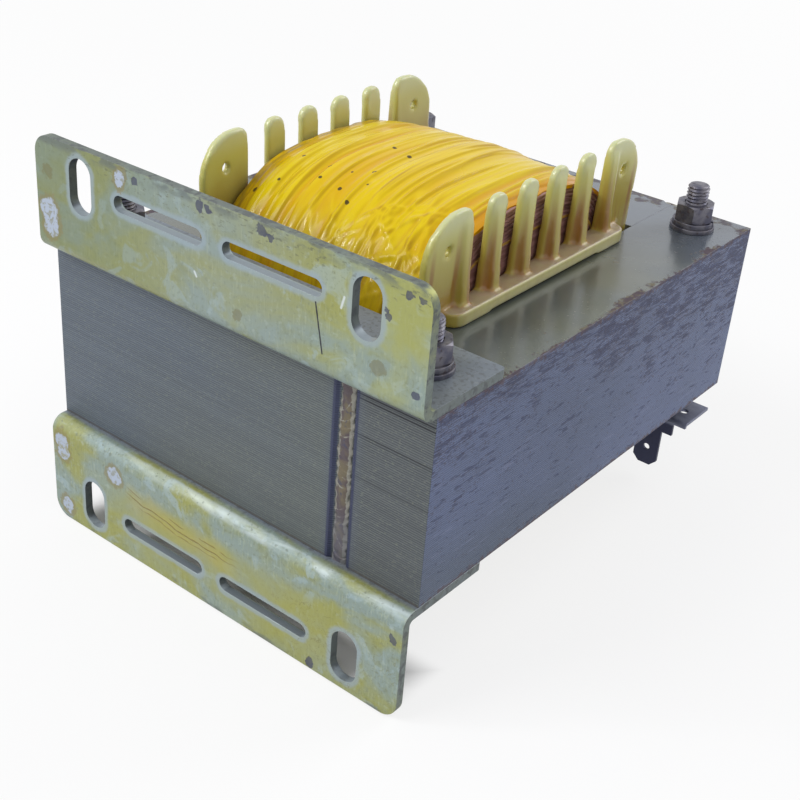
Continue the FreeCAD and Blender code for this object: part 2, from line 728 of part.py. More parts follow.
def build_terminal():
    """A sheet bent once; its blade has a wide root, a narrow tip and a latch hole."""
    terminal = new_body("terminal", (stud_x, stud_rear_y, terminal_top))
    thick = size["terminal_thickness"]
    front = -(size["terminal_width"] / 2.0)
    reach = size["terminal_reach"]
    back = -size["terminal_back"]
    section = new_sketch(terminal, "YZ_Plane", "section", back)
    polygon(section, [
        (front, ZERO),
        (-front, ZERO),
        (-front, -thick),
        (front + thick, -thick),
        (front + thick, -size["blade_length"]),
        (front, -size["blade_length"]),
    ])
    pad(terminal, section, "sheet", reach - back)

    fillet(terminal, "outer_bend", size["terminal_bend"], lambda edge: line_at(edge, front, ZERO))
    fillet(terminal, "inner_bend", size["terminal_bend"] - thick,
           lambda edge: line_at(edge, front + thick, -thick))

    middle = size["blade_place"]
    half_root = size["blade_shoulder"] / 2.0
    half_blade = size["blade_width"] / 2.0
    root = -size["blade_root"]
    tip = -size["blade_length"]
    corner = size["blade_corner"]
    waste = new_sketch(terminal, "XZ_Plane", "waste")
    for side, edge_x in ((-1.0, back - CUT_MARGIN), (1.0, reach + CUT_MARGIN)):
        shoulder = middle + half_root * side
        blade = middle + half_blade * side
        polygon(waste, [
            (edge_x, -thick - size["terminal_bend"] / 2.0),
            (shoulder, -thick - size["terminal_bend"] / 2.0),
            (shoulder, root),
            (blade, root),
            (blade, tip + corner),
            (blade - corner * side, tip),
            (blade - corner * side, tip - CUT_MARGIN),
            (edge_x, tip - CUT_MARGIN),
        ])
    circle(waste, middle, -size["blade_hole_place"], size["blade_hole_diameter"] / 2.0)
    cut_through(terminal, waste, "waste_cut")

    holes = new_sketch(terminal, "XY_Plane", "plate_holes")
    circle(holes, ZERO, ZERO, size["washer_bore"] / 2.0)
    circle(holes, size["tab_hole_place"], ZERO, size["tab_hole_diameter"] / 2.0)
    cut_through(terminal, holes, "plate_hole_cut")


# Build, check and write

def pieces_of_document():
    """The pieces themselves: every body and every coil layer."""
    return [made for made in doc.Objects if made.TypeId in ("PartDesign::Body", "Part::Feature")]


def check_and_write():
    """Stop at a failed object or shape, then write one file per piece."""
    doc.recompute()
    for made in doc.Objects:
        if "Invalid" in made.State or "Error" in made.State:
            raise ValueError(f"{made.Label} failed: {made.State}")
    os.makedirs("parts", exist_ok=True)
    pieces = pieces_of_document()
    for piece in pieces:
        shape = piece.Shape
        if shape.isNull() or not shape.isValid():
            raise ValueError(f"{piece.Label} has no valid shape")
        if len(shape.Solids) != 1:
            raise ValueError(f"{piece.Label} has {len(shape.Solids)} solids")
    for piece in pieces:
        piece.Shape.exportStep(f"parts/{piece.Label}.step")
        print(f"{piece.Label}: {piece.Shape.Volume:.1f} mm3")
    print(f"{len(pieces)} pieces")


build_core()
build_weld_bead("weld_bead_front", core_front + size["weld_groove_depth"], -1.0)
build_weld_bead("weld_bead_back", core_back - size["weld_groove_depth"], 1.0)
build_bracket("upper_bracket", 0.0)
build_bracket("lower_bracket", HALF_TURN)
build_bobbin()
build_coil()
build_fasteners()
build_terminal()
check_and_write()
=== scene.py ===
# %% [markdown]
# # A chassis transformer on a welded EI core
#
# The solids of this part come from the CAD frame and never move. This file gives them their
# looks: it adds the detail that a solid leaves out, such as creased tape, threads and a weld
# bead, and it writes each finish as a pattern worked out from the place on the surface.

# %% Load the frame
import functools
import json
import math
import bmesh
import bpy
import numpy as np
from mathutils import Matrix, Vector


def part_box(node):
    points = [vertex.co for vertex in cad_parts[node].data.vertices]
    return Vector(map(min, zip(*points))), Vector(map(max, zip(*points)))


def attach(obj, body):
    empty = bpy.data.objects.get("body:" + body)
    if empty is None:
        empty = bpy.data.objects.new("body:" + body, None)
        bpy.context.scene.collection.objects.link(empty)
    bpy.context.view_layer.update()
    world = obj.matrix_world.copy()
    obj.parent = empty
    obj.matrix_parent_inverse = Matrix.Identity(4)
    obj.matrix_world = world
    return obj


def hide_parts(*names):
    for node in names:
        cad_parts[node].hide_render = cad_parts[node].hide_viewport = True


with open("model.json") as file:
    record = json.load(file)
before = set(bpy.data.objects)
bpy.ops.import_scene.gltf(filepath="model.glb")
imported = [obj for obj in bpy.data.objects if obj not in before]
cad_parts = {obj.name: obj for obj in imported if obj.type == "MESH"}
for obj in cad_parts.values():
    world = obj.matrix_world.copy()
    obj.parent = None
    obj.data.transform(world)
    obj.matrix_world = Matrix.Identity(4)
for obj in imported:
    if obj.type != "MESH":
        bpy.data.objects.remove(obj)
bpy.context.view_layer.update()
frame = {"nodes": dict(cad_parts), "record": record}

print("the frame has", len(frame["nodes"]), "nodes")

# %% [markdown]
# ## Sizes
#
# Blender works in metres. Every place and size below is in millimetres, and MM turns it into
# metres where a mesh or a light needs it. Where they can be, sizes are read from the boxes of
# the CAD nodes.

# %% Read the sizes
MM = 0.001
nodes = frame["nodes"]


def span(node):
    """The lowest and highest corner of a CAD node, in millimetres."""
    low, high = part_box(node)
    return np.array(low) / MM, np.array(high) / MM


core_low, core_high = span("core_e_stack")
yoke_high = span("core_i_stack")[1]
tape_low, tape_high = span("outer_tape")
winding_low, winding_high = span("secondary_winding")
JOINT_X = core_high[0]
CORE_TOP = core_high[2]
COIL_MIDDLE = (tape_low[1] + tape_high[1]) / 2
print("core from", core_low.round(2), "to", yoke_high.round(2), "joint at x =", round(JOINT_X, 2))

# %% [markdown]
# ## A small kit for finishes
#
# A Blender material is a net of nodes. Placing them one by one hides what the pattern is, so a
# socket is wrapped in a small class whose plus, minus and times add the Math nodes. A finish
# can then be written as a sum of patterns. Colours go through Mix nodes, because a Math node
# would turn them grey.

# %% Numbers that vary over a surface


def maths(operation, turned=False):
    """A method that adds one Math node; turned is for a plain number that stands on the left."""

    def method(self, other):
        first, second = (other, self) if turned else (self, other)
        return self.net.sum_of(operation, first, second)

    return method


class Field:
    """A number that varies over the surface: a socket that takes part in sums."""

    def __init__(self, net, socket):
        self.net = net
        self.socket = socket

    __add__, __radd__ = maths("ADD"), maths("ADD", turned=True)
    __sub__, __rsub__ = maths("SUBTRACT"), maths("SUBTRACT", turned=True)
    __mul__, __rmul__ = maths("MULTIPLY"), maths("MULTIPLY", turned=True)
    __truediv__ = maths("DIVIDE")
    # The larger of two numbers
    most = maths("MAXIMUM")

    def size(self):
        """The number without its sign."""
        return self.net.sum_of("ABSOLUTE", self)

    def whole(self):
        """The number rounded down."""
        return self.net.sum_of("FLOOR", self)

    def part(self):
        """What is left of the number past its whole part."""
        return self.net.sum_of("FRACT", self)

    def ramp(self, low, high):
        """0 up to low, 1 from high on, and a soft passage between the two."""
        made = self.net.node("MapRange", {"interpolation_type": "SMOOTHSTEP"},
                             {"Value": self, "From Min": low, "From Max": high})
        return Field(self.net, made.outputs["Result"])

    def fade(self, low, high):
        """1 up to low, 0 from high on, and a soft passage between the two."""
        return 1 - self.ramp(low, high)


def most_of(fields):
    """The largest of several numbers."""
    return functools.reduce(Field.most, fields)


# %% Colours as a screen shows them


def paint(red, green, blue):
    """A colour from screen values of 0 to 255, made linear as Blender's sockets want it."""
    screen = np.array([red, green, blue]) / 255
    linear = np.where(screen <= 0.04045, screen / 12.92, ((screen + 0.055) / 1.055) ** 2.4)
    return (*[float(part) for part in linear], 1.0)


print("half grey on the screen is", round(paint(128, 128, 128)[0], 3), "of white in linear light")

# %% A net of nodes


class Net:
    """The nodes of a material or of a world, their owner: its methods add to them."""

    def __init__(self, name, kind=bpy.data.materials):
        self.owner = kind.new(name)
        self.owner.use_nodes = True
        self.tree = self.owner.node_tree
        self.tree.nodes.clear()

    def node(self, kind, settings=None, sockets=None):
        """Any node: its type less ShaderNode, its settings, and its sockets' values or links."""
        made = self.tree.nodes.new("ShaderNode" + kind)
        for name, value in (settings or {}).items():
            setattr(made, name, value)
        for name, value in (sockets or {}).items():
            source = value.socket if isinstance(value, Field) else value
            if isinstance(source, bpy.types.NodeSocket):
                self.tree.links.new(source, made.inputs[name])
            else:
                made.inputs[name].default_value = source
        return made

    def sum_of(self, operation, *values):
        """A Math node on fields and plain numbers."""
        made = self.node("Math", {"operation": operation}, dict(enumerate(values)))
        return Field(self, made.outputs[0])

    def vector(self, operation, sockets, output="Vector"):
        """A Vector Math node on places or directions."""
        made = self.node("VectorMath", {"operation": operation}, sockets)
        return made.outputs[output]

    def mix(self, mask, low, high):
        """One colour where the mask is 0 and another where it is 1."""
        made = self.node("Mix", {"data_type": "RGBA"}, {0: mask, 6: low, 7: high})
        return made.outputs[2]

    def say(self, step):
        """Print how far the net has come."""
        print(self.owner.name, "with", step, "has", len(self.tree.nodes), "nodes")


# %% [markdown]
# ## Patterns
#
# A finish is a net that knows where on the object it is. Its patterns are noise, the distance
# from a point or a line, and the direction that the surface faces, all in the object's own
# axes, so that they stay on their piece.

# %% A finish and its patterns
# The finished materials, by the record's slots
finishes = {}


class Finish(Net):
    """A material with a colour and a relief, which are built up in layers."""

    def __init__(self, name):
        super().__init__(name)
        self.colour = None
        self.normal = None
        self.where = self.node("TexCoord")
        self.place = self.vector("SCALE", {0: self.where.outputs["Object"], "Scale": 1 / MM})

    def axes(self, source=None):
        """The three coordinates of a place, in millimetres unless another vector is given."""
        made = self.node("SeparateXYZ", None, {0: source or self.place})
        return [Field(self, made.outputs[i]) for i in range(3)]

    def facing(self):
        """The three parts of the direction that the surface faces, in the object's own axes."""
        return self.axes(self.where.outputs["Normal"])

    def stored(self, label):
        """The number that a mesh keeps at its points under this name."""
        made = self.node("Attribute", {"attribute_name": label})
        return Field(self, made.outputs["Fac"])

    def stretched(self, stretch):
        """The place with each axis multiplied, so that a pattern gets long where it is small."""
        return self.vector("MULTIPLY", {0: self.place, 1: stretch})

    def clouds(self, grain, detail=3.0, stretch=(1, 1, 1), twist=0.0):
        """Cloudy noise about 0.5 whose lumps are about as many millimetres wide as grain."""
        made = self.node("TexNoise", None, {
            "Vector": self.stretched(stretch), "Scale": 1 / grain, "Detail": detail,
            "Distortion": twist})
        return Field(self, made.outputs["Fac"])

    def chance(self, number):
        """A random number for each whole number."""
        made = self.node("TexWhiteNoise", {"noise_dimensions": "1D"}, {"W": number})
        return Field(self, made.outputs["Value"])

    def distance(self, point, source=None):
        """How far the surface is from a point, in millimetres."""
        return Field(self, self.vector("DISTANCE", {0: source or self.place, 1: point}, "Value"))

    def from_line(self, start, end):
        """How far the surface is from the straight line between two points."""
        start, end = Vector(start), Vector(end)
        along = end - start
        offset = self.vector("SUBTRACT", {0: self.place, 1: start})
        reach = self.vector("DOT_PRODUCT", {0: offset, 1: along / along.length_squared}, "Value")
        held = self.node("Clamp", None, {"Value": reach}).outputs["Result"]
        foot = self.vector("SCALE", {0: along, "Scale": held})
        return Field(self, self.vector("DISTANCE", {0: offset, 1: foot}, "Value"))

    def spots(self, places, ragged, source=None):
        """1 inside round marks given as (x, y, z, radius), with an edge that noise makes ragged."""
        return most_of([(self.distance(centre, source) + ragged).fade(radius * 0.8, radius)
                        for *centre, radius in places])

    def tint(self, mask, *screen):
        """Lay one more colour over the finish, as thickly as the mask says from 0 to 1."""
        self.colour = self.mix(mask, self.colour, paint(*screen))

    def relief(self, height, depth):
        """Tilt the normal as if the surface rose by depth millimetres where height is 1."""
        sockets = {"Height": height, "Distance": depth * MM}
        if self.normal is not None:
            sockets["Normal"] = self.normal
        self.normal = self.node("Bump", None, sockets).outputs["Normal"]

    def surface(self, slot, **sockets):
        """End in a Principled shader for one of the record's slots; a name's _ is a space."""
        named = {name.replace("_", " "): value for name, value in sockets.items()}
        named.update({"Base Color": self.colour, "Normal": self.normal})
        shader = self.node("BsdfPrincipled", None, named)
        self.node("OutputMaterial", None, {"Surface": shader.outputs["BSDF"]})
        finishes[slot] = self.owner
        self.say("its shader")


# %% [markdown]
# ## Varnished sheet steel
#
# The core is a stack of sheets half a millimetre thick. On the sides their cut edges show as
# fine lines, each sheet a little lighter or darker than the next. The top and bottom are whole
# sheets under varnish, smooth and glossy. So the finish asks which way the surface faces, and
# draws lines from the height on the sides only.
#
# Every finish here is painted in layers, as a model maker would: a ground colour first, and
# then each kind of line, streak or stain as one more tint, with a mask that says where it lies.

# %% The cut edges of the sheets
SHEET = 0.5
# Beside the weld the edges of whole packets show as dark lines: their heights and strengths
DARK_SEAMS = [(18.4, 0.9), (17.5, 1.0), (10.1, 0.8), (9.5, 0.5), (0.9, 0.45)]

steel = Finish("varnished_sheet_steel")
x, y, z = steel.axes()
face_x, _, face_z = steel.facing()
flat = face_z.size().ramp(0.6, 0.9)
yoke_side = face_x.size().ramp(0.6, 0.9)
front_side = 1 - yoke_side
past_weld = x.ramp(31.5, 33)
layer = z / SHEET
tone = steel.chance(layer.whole())
seam = (layer.part() - 0.5).size().ramp(0.2, 0.5)
slow = steel.clouds(38, 2)
fine = steel.clouds(0.35, 2, (0.12, 0.12, 1))
dust = steel.clouds(0.4, 4, (0.7, 0.7, 1))

front = steel.mix((x / 100 + 0.5 + (slow - 0.5) * 0.9).ramp(0.1, 0.9),
                  paint(103, 114, 126), paint(109, 116, 112))
front = steel.mix(past_weld, front, paint(102, 108, 110))
side = steel.mix(slow.ramp(0.3, 0.7), paint(88, 102, 134), paint(102, 116, 154))
shaded = (z / (2 * CORE_TOP) + y / 160 + 0.5).fade(0.05, 0.6) * 0.8
side = steel.mix(shaded, side, paint(84, 97, 114))
steel.colour = steel.mix(yoke_side, front, side)
lines = (seam * 0.66 + tone * 0.14 + fine * 0.1) * (1 - yoke_side * 0.5)
steel.tint(lines * (1 + past_weld * 0.2), 48, 52, 60)
steel.tint(dust.ramp(0.56, 0.7) * 0.3 * front_side, 140, 146, 130)
packets = most_of([(z - height).size().fade(0.06, 0.26) * strength
                   for height, strength in DARK_SEAMS])
steel.tint(packets * x.ramp(31, 33) * front_side, 32, 34, 42)
steel.say("its cut edges")

# %% [markdown]
# ### Streaks on the yoke
#
# The outer side of the yoke is one long row of edges, where old varnish has gone dark in
# streaks, most near the upper edge. Noise that is stretched along the core gives the streaks,
# and a slower noise added to it crowds them together in places.

# %% The streaks of the yoke
height = (z + CORE_TOP) / (2 * CORE_TOP)
drift = (steel.clouds(19, 3) - 0.5) * 1.1
crowd = (steel.clouds(6, 5, (1, 0.6, 1.2), 0.8) - 0.5) * 1.3
many = (height * 0.85 + (y / 124 - 0.5) * 0.25 + drift + crowd).ramp(0.1, 1.1)
drawn = steel.clouds(0.4, 3, (1, 0.05, 1.6)).ramp(0.5, 0.6)
worn = (steel.clouds(0.9, 5, (1, 0.26, 1.4), 0.7) + many * 0.18).ramp(0.62, 0.68) * yoke_side
pitted = (steel.clouds(0.45, 4, (1, 0.7, 1.1), 1.2) + many * 0.15).ramp(0.62, 0.67)
pale = steel.clouds(1.3, 4, (1, 0.16, 1.6)).ramp(0.6, 0.72)
steel.tint(yoke_side * drawn * many * 0.7, 66, 70, 94)
steel.tint(worn * 0.5, 54, 56, 84)
steel.tint(yoke_side * pitted * 0.6, 58, 52, 72)
steel.tint(yoke_side * pale * 0.35, 124, 132, 164)
steel.say("its streaks")

# %% [markdown]
# ### Rust, and the blue of the weld
#
# Rust starts at an edge, where the varnish is thin. So its mask is the distance from the edge
# with ragged noise added, and where the sum falls below nothing there is rust. The heat of
# the weld has blued the steel in a narrow line along each rim of the notch.

# %% Rust and heat on the cut edges
edge_on = 1 - flat
rim = (CORE_TOP - z.size() + (steel.clouds(1.2, 5) - 0.5) * 5).fade(0.0, 1.2) * edge_on
bottom = (z + CORE_TOP).fade(0.15, 0.8) * edge_on * front_side
steel.tint(rim * yoke_side * 0.85, 78, 62, 70)
steel.tint(bottom * 0.5, 94, 80, 68)

from_joint = (x - JOINT_X).size()
at_end = (y - COIL_MIDDLE).size().ramp(56, 59.5) * edge_on
blued = (from_joint - 2.5).size().fade(0.4, 0.85) * at_end
steel.tint(blued * 0.9, 46, 52, 84)
steel.tint(from_joint.fade(2.4, 5.5) * (1 - blued) * at_end * 0.4, 84, 96, 112)
steel.say("rust and heat")

# %% The whole sheets on top, and the shader
from_edge = yoke_high[0] - x.size()
ragged = (steel.clouds(5, 6, (1, 0.4, 1)) - 0.5) * 14 + (steel.clouds(0.8, 5) - 0.5) * 6
from_back = (core_high[1] - y) + (steel.clouds(3.5, 6) - 0.5) * 34
specks = steel.clouds(0.9, 5).ramp(0.66, 0.7) * from_edge.fade(2, 9)
rust = most_of([(from_edge + ragged).fade(0.0, 0.8), from_back.fade(0.0, 3.0) * 0.8,
                specks]) * flat
rusty = steel.mix(steel.clouds(1.0, 4).ramp(0.45, 0.62), paint(74, 62, 72), paint(106, 100, 84))
sheet = steel.mix(steel.clouds(26, 2).ramp(0.35, 0.65), paint(92, 100, 102), paint(100, 104, 93))
sheet = steel.mix(y.ramp(70, 112) * 0.8, sheet, paint(96, 105, 120))
steel.colour = steel.mix(flat, steel.colour, steel.mix(rust, sheet, rusty))

steel.relief((1 - seam) * edge_on + fine * edge_on * 0.3, 0.06)
steel.relief(steel.clouds(9, 2) * flat, 0.12)
steel.relief(worn, 0.05)
steel.surface("core_steel", Roughness=0.46 + worn * 0.14 - flat * 0.2 + rust * 0.35, Metallic=0.35,
              Coat_Weight=flat * (1 - rust) * 0.45, Coat_Roughness=0.16)

# %% [markdown]
# ## Weld metal
#
# A weld bead is a row of frozen drops. The middle of each is brown under burnt varnish, and
# pale spatter lies along both rims and in the bent lines between the drops. The mesh made
# further down stores where those lines run, as an attribute named froth.

# %% Weld metal
weld = Finish("brown_weld_metal")
drops = weld.clouds(2.8, 4, (1, 1, 0.7), 0.6)
spatter = weld.stored("froth") + (weld.clouds(1.0, 6) - 0.5) * 2.2
weld.colour = weld.mix(drops.ramp(0.38, 0.6), paint(86, 76, 80), paint(110, 101, 82))
weld.tint(weld.clouds(1.6, 3).ramp(0.58, 0.66) * 0.6, 62, 66, 92)
weld.tint(spatter.ramp(0.45, 0.75) * 0.9, 142, 141, 132)
weld.tint((weld.axes()[2] + 13).fade(0, 6) * 0.5, 96, 98, 112)
weld.relief(weld.clouds(0.7, 4), 0.1)
weld.surface("weld_metal", Roughness=0.34 + drops * 0.2, Metallic=0.4)

# %% [markdown]
# ## Yellow passivated zinc
#
# The brackets are zinc plated and then dipped, which leaves an olive film that thins to
# blue-grey in clouds. Broad noise mixes the two, and finer noise adds brushed lines and grain.
# The film is yellower on the lower upright and duller on the left of the upper one, and the
# inner faces have hardly any, so these get tints of their own.

# %% The film
zinc = Finish("yellow_passivated_zinc")
x, y, z = zinc.axes()
face_x, face_y, face_z = zinc.facing()
cloud = zinc.clouds(22, 4, (1, 1, 1.5), 0.8)
small = zinc.clouds(3.2, 5, twist=0.6)
brushed = zinc.clouds(0.45, 3, (1, 1, 0.12))
grain = zinc.clouds(0.9, 4)
zinc.colour = zinc.mix(cloud.ramp(0.4, 0.6), paint(138, 154, 148), paint(150, 153, 90))
zinc.tint(small.ramp(0.5, 0.74) * 0.45, 130, 136, 84)
zinc.tint(zinc.clouds(7, 5, twist=1.0).ramp(0.56, 0.64) * 0.55, 158, 178, 186)
zinc.tint(brushed.ramp(0.5, 0.75) * 0.28, 186, 194, 160)
zinc.tint(grain.ramp(0.54, 0.68) * 0.34, 106, 112, 88)
zinc.tint(zinc.clouds(1.3, 5).ramp(0.56, 0.68) * 0.3, 176, 188, 178)

below = 0 - z
upper = z.ramp(20, 24)
inner = y.ramp(2.6, 4.0)
outer = 1 - inner
yellow = below.ramp(26, 30) * (x - 3).size().fade(22, 46) * (1 - below.ramp(40, 44.5) * 0.6)
zinc.tint(yellow * cloud.ramp(0.24, 0.46) * 0.7, 158, 158, 86)
zinc.tint(upper * x.size().fade(12, 32) * 0.3, 142, 154, 154)
zinc.tint(upper * x.ramp(24, 40) * cloud.ramp(0.3, 0.5) * 0.6, 166, 170, 104)
zinc.tint(upper * (0 - x).ramp(-5, 45) * 0.66, 118, 129, 98)
zinc.tint(inner * 0.85, 120, 128, 144)
zinc.tint(inner * grain.ramp(0.5, 0.64) * 0.5, 92, 94, 98)
zinc.tint(inner * zinc.clouds(0.6, 4).ramp(0.6, 0.7) * 0.4, 152, 158, 166)
zinc.say("its film")

# %% [markdown]
# ### Round the slots
#
# Punching stretches the steel beside a slot, and the film is thin there. A slot is a straight
# line made thick, so the distance from that line less the slot's radius is the distance from
# its rim. The walls of the slots are painted pale where they face up, as painted light, and
# dark elsewhere, as painted shade.

# %% The rims and walls of the slots
SLOT_LINE = 37.7
# A slot is given by its middle along x, half its line's length along x and z, and its radius
SLOTS = [(14.6, 10.3, 0.0, 1.7), (36.5, 0.0, 2.7, 3.2)]

from_rims = []
for side in (-1, 1):
    for height in (-SLOT_LINE, SLOT_LINE):
        for middle, half_x, half_z, radius in SLOTS:
            line = zinc.from_line((middle * side - half_x, 0, height - half_z),
                                  (middle * side + half_x, 0, height + half_z))
            from_rims.append(line - radius)
uneven = (small - 0.5) * 1.2
ring = most_of([(from_rim + uneven).fade(0.5, 1.5) for from_rim in from_rims])
wall = most_of([from_rim.fade(0.5, 0.9) for from_rim in from_rims])
wall = wall * face_y.size().fade(0.35, 0.75) * outer
zinc.tint(ring * 0.7, 150, 166, 178)
# Painted light and shade in the slots: pale on walls that face up, dark navy on the rest
wall_light_and_shade = zinc.mix(face_z.ramp(0.5, 0.8), paint(34, 40, 66), paint(132, 142, 150))
zinc.colour = zinc.mix(wall * 0.92, zinc.colour, wall_light_and_shade)
zinc.say(f"{len(from_rims)} slots")

# %% [markdown]
# ### Bare places, stains and knocks
#
# At a few places the film is gone down to the bright zinc, and at others it is stained or
# knocked dark. Each mark is written as its place on the uprights and its radius, and noise
# makes its edge ragged. Along the upper and lower edges the wear is noise alone.

# %% Marks on the uprights
BARE = [(-47.1, -25.6, 2.4), (-46.6, -28.4, 2.2), (-46.1, -42.2, 2.0), (-29.6, -26.8, 2.4),
        (-46.4, 30.0, 2.9), (-46.0, 26.9, 2.8), (-24.8, 43.4, 1.3), (-25.0, 41.9, 1.0)]
STAINS = [(39.8, 27.6, 1.7), (6.5, 25.8, 1.3), (-38.0, 41.4, 1.6), (-46.4, 38.6, 1.8)]
KNOCKS = [(-3.3, 44.2, 1.3), (-1.2, 43.9, 1.0), (12.2, 44.1, 1.3), (14.5, 43.6, 0.9),
          (48.0, 43.2, 0.8), (45.0, 43.2, 0.9), (48.0, 25.6, 0.9), (47.8, -26.5, 1.1),
          (-20.4, 43.9, 0.9), (28.0, -44.2, 1.2), (40.6, 39.4, 0.6), (41.2, 37.8, 0.6)]
# Round a bare place the film is stained, this much further out
HALO = 1.0


def on_uprights(marks, larger=0.0):
    """Marks of x, z and radius as places in space: the face of the uprights is at y = 0."""
    return [(across, 0, up, radius + larger) for across, up, radius in marks]


ragged = (small - 0.5) * 2.2 + (grain - 0.5) * 1.6
mottle = 0.35 + zinc.clouds(1.1, 5, twist=0.8).ramp(0.38, 0.5) * 0.65
zinc.tint(zinc.spots(on_uprights(BARE, HALO), ragged * 1.4) * 0.6, 134, 122, 78)
zinc.tint(zinc.spots(on_uprights(BARE), ragged) * mottle * 0.9, 176, 188, 208)
zinc.tint(zinc.spots(on_uprights(STAINS), ragged * 1.3) * 0.5, 112, 104, 60)
knocks = zinc.spots(on_uprights(KNOCKS), (zinc.clouds(1.7, 4) - 0.5) * 3.0)
top_edge = z.ramp(43.0, 45.2) * zinc.clouds(2.2, 6, (0.4, 1, 1)).ramp(0.44, 0.58)
low_edge = below.ramp(43.8, 45.4) * zinc.clouds(2.6, 6, (0.4, 1, 1)).ramp(0.5, 0.62)
zinc.tint(top_edge.most(low_edge) * 0.7, 98, 106, 106)
zinc.tint(knocks * (0.45 + small * 0.7), 74, 77, 100)
scuff = z.ramp(39.5, 43.5) * zinc.clouds(0.7, 5, (0.45, 1, 1)).ramp(0.58, 0.66)
zinc.tint(scuff * 0.6, 96, 98, 82)
zinc.say(f"{len(BARE) + len(STAINS) + len(KNOCKS)} marks")

# %% [markdown]
# ### Scratch and crease
#
# A scratch is the distance from a straight line. The long crease of the lower upright is bent:
# its height is a parabola over x, with two weaker folds beside it, each broken up by noise,
# and a warm glow round all three.

# %% Lines on the uprights
SCRATCH = ((25.3, 0, 35.0), (27.3, 0, 25.7))
NICKS = [((31.6, 0, 38.2), (31.0, 0, 36.0)), ((-4.5, 0, 30.6), (-4.0, 0, 29.8))]
CREASE_START = -27.0
CREASE_END = 10.0
CREASE_HEIGHT = 29.2

hair = (zinc.clouds(3.4, 2, twist=1.4) - 0.5).size().fade(0.003, 0.012)
zinc.tint(hair * below.ramp(27, 30) * x.ramp(8, 26) * outer * 0.45, 116, 110, 58)
scratch = (zinc.from_line(*SCRATCH) + (zinc.clouds(0.8, 3) - 0.5) * 0.2).fade(0.08, 0.24)
zinc.tint(scratch, 46, 48, 56)
for start, end in NICKS:
    zinc.tint(zinc.from_line(start, end).fade(0.12, 0.35) * 0.8, 214, 222, 224)

# With t along the crease, it falls by 0.165 t and rises by 0.0024 t squared
t = x - CREASE_START
sag = z + CREASE_HEIGHT + t * 0.165 - t * t * 0.0024
sag = sag + (zinc.clouds(13, 2) - 0.5) * 3.0 + (small - 0.5) * 0.8
along = t.ramp(0, 4) * (x - CREASE_END).fade(-9, 0) * outer
patchy = zinc.clouds(7, 2)
middle_fold = (sag.size() + grain * 0.3).fade(0.18, 0.42)
upper_fold = ((sag - 1.5).size() + small * 0.6).fade(0.36, 0.55) * patchy.ramp(0.46, 0.56)
lower_fold = ((sag + 1.1).size() + small * 0.7).fade(0.4, 0.6)
lower_fold = lower_fold * patchy.fade(0.44, 0.54)
crease = most_of([middle_fold, upper_fold * 0.8, lower_fold * 0.6]) * along
zinc.tint((sag.size() + (small - 0.5) * 4).fade(0.5, 5.0) * along * 0.5, 176, 164, 78)
zinc.tint(crease * 0.75, 124, 104, 48)
zinc.say("scratch and crease")

# %% [markdown]
# ### Bend and cut edges
#
# The bend is found by the way it faces, between forwards and up. It catches the light, so it
# gets a painted highlight in patches, stronger towards the right. The cut edges of the sheet
# are a mottled grey.

# %% The bend, the cut edges and the shader
bend = face_z.ramp(0.25, 0.6) * face_z.fade(0.93, 0.99) * below.ramp(15, 20)
highlight_patches = zinc.clouds(5, 5, (0.3, 1, 1), 0.6).ramp(0.42, 0.6)
# Painted highlight on the bend, in patches
zinc.tint(bend * (0.12 + highlight_patches * (0.3 + x.ramp(-30, 20) * 0.3)), 188, 200, 204)
zinc.tint(bend * zinc.clouds(0.8, 4).ramp(0.6, 0.68) * 0.5, 104, 110, 100)
cut_edge = face_x.size().ramp(0.7, 0.95).most(face_z.size() * z.size().ramp(45.2, 45.6))
zinc.tint(cut_edge * (0.4 + grain * 0.8), 94, 103, 100)
zinc.tint(cut_edge * zinc.clouds(1.8, 5).ramp(0.52, 0.62) * 0.6, 66, 70, 74)
zinc.relief(brushed, 0.015)
zinc.relief(zinc.clouds(19, 1), 0.3)
zinc.relief(knocks + scratch - crease, -0.09)
rough = 0.36 + small * 0.16 + knocks * 0.2 + grain * 0.06 + bend * (0.22 - highlight_patches * 0.12)
zinc.surface("bracket_zinc", Roughness=rough, Metallic=0.4)

# %% [markdown]
# ## Natural nylon
#
# The bobbin is moulded from undyed nylon. Light goes a little way into it, so thin tips look
# pale and thick roots look amber. The finish paints that as light and shade by the height over
# the core: painted light at the pale tips, and painted shade, amber, low down at the roots and
# beside the ribs. The shader's subsurface part lets real light through as well.

# %% Bobbin nylon
FINGER_TIP = span("bobbin")[1][2]
# The flange's outer face along x, the top of its foot plate, and the pitch of its fingers
FLANGE_OUT = 29.3
SHELF_TOP = 23.5
FINGER_PITCH = 10.95

nylon = Finish("natural_nylon")
x, y, z = nylon.axes()
height = z.size()
out = x.size()
cloud = nylon.clouds(7, 3, (1, 1, 0.5))
streak = nylon.clouds(1.6, 3, (1, 1, 0.16))
up = (height + (cloud - 0.5) * 8 - SHELF_TOP) / (FINGER_TIP - SHELF_TOP)
# Painted light and shade: amber low down at the roots, pale towards the tips
nylon.colour = nylon.mix(up.ramp(0.15, 0.75), paint(170, 150, 66), paint(192, 188, 104))
# Painted light: paler still at the tips
nylon.tint(height.ramp(FINGER_TIP - 6, FINGER_TIP) * 0.7, 202, 208, 168)
nylon.tint(x.ramp(10, 25) * height.fade(33, 40) * 0.45, 176, 160, 62)

# Painted shade: amber beside the ribs where they stand on the fingers, strongest low down
beside = (((y - COIL_MIDDLE) / FINGER_PITCH).part() - 0.5).size()
rib_shade = (beside - 0.15).size().fade(0.02, 0.1)
rib_shade = rib_shade * out.ramp(FLANGE_OUT - 0.4, FLANGE_OUT + 0.5)
nylon.tint(rib_shade * up.fade(0.3, 0.85) * (0.45 + streak * 0.6), 144, 88, 30)
# Painted shade: amber streaks low down at the roots
nylon.tint(up.fade(0.0, 0.4) * streak.ramp(0.46, 0.6) * 0.55, 158, 106, 44)

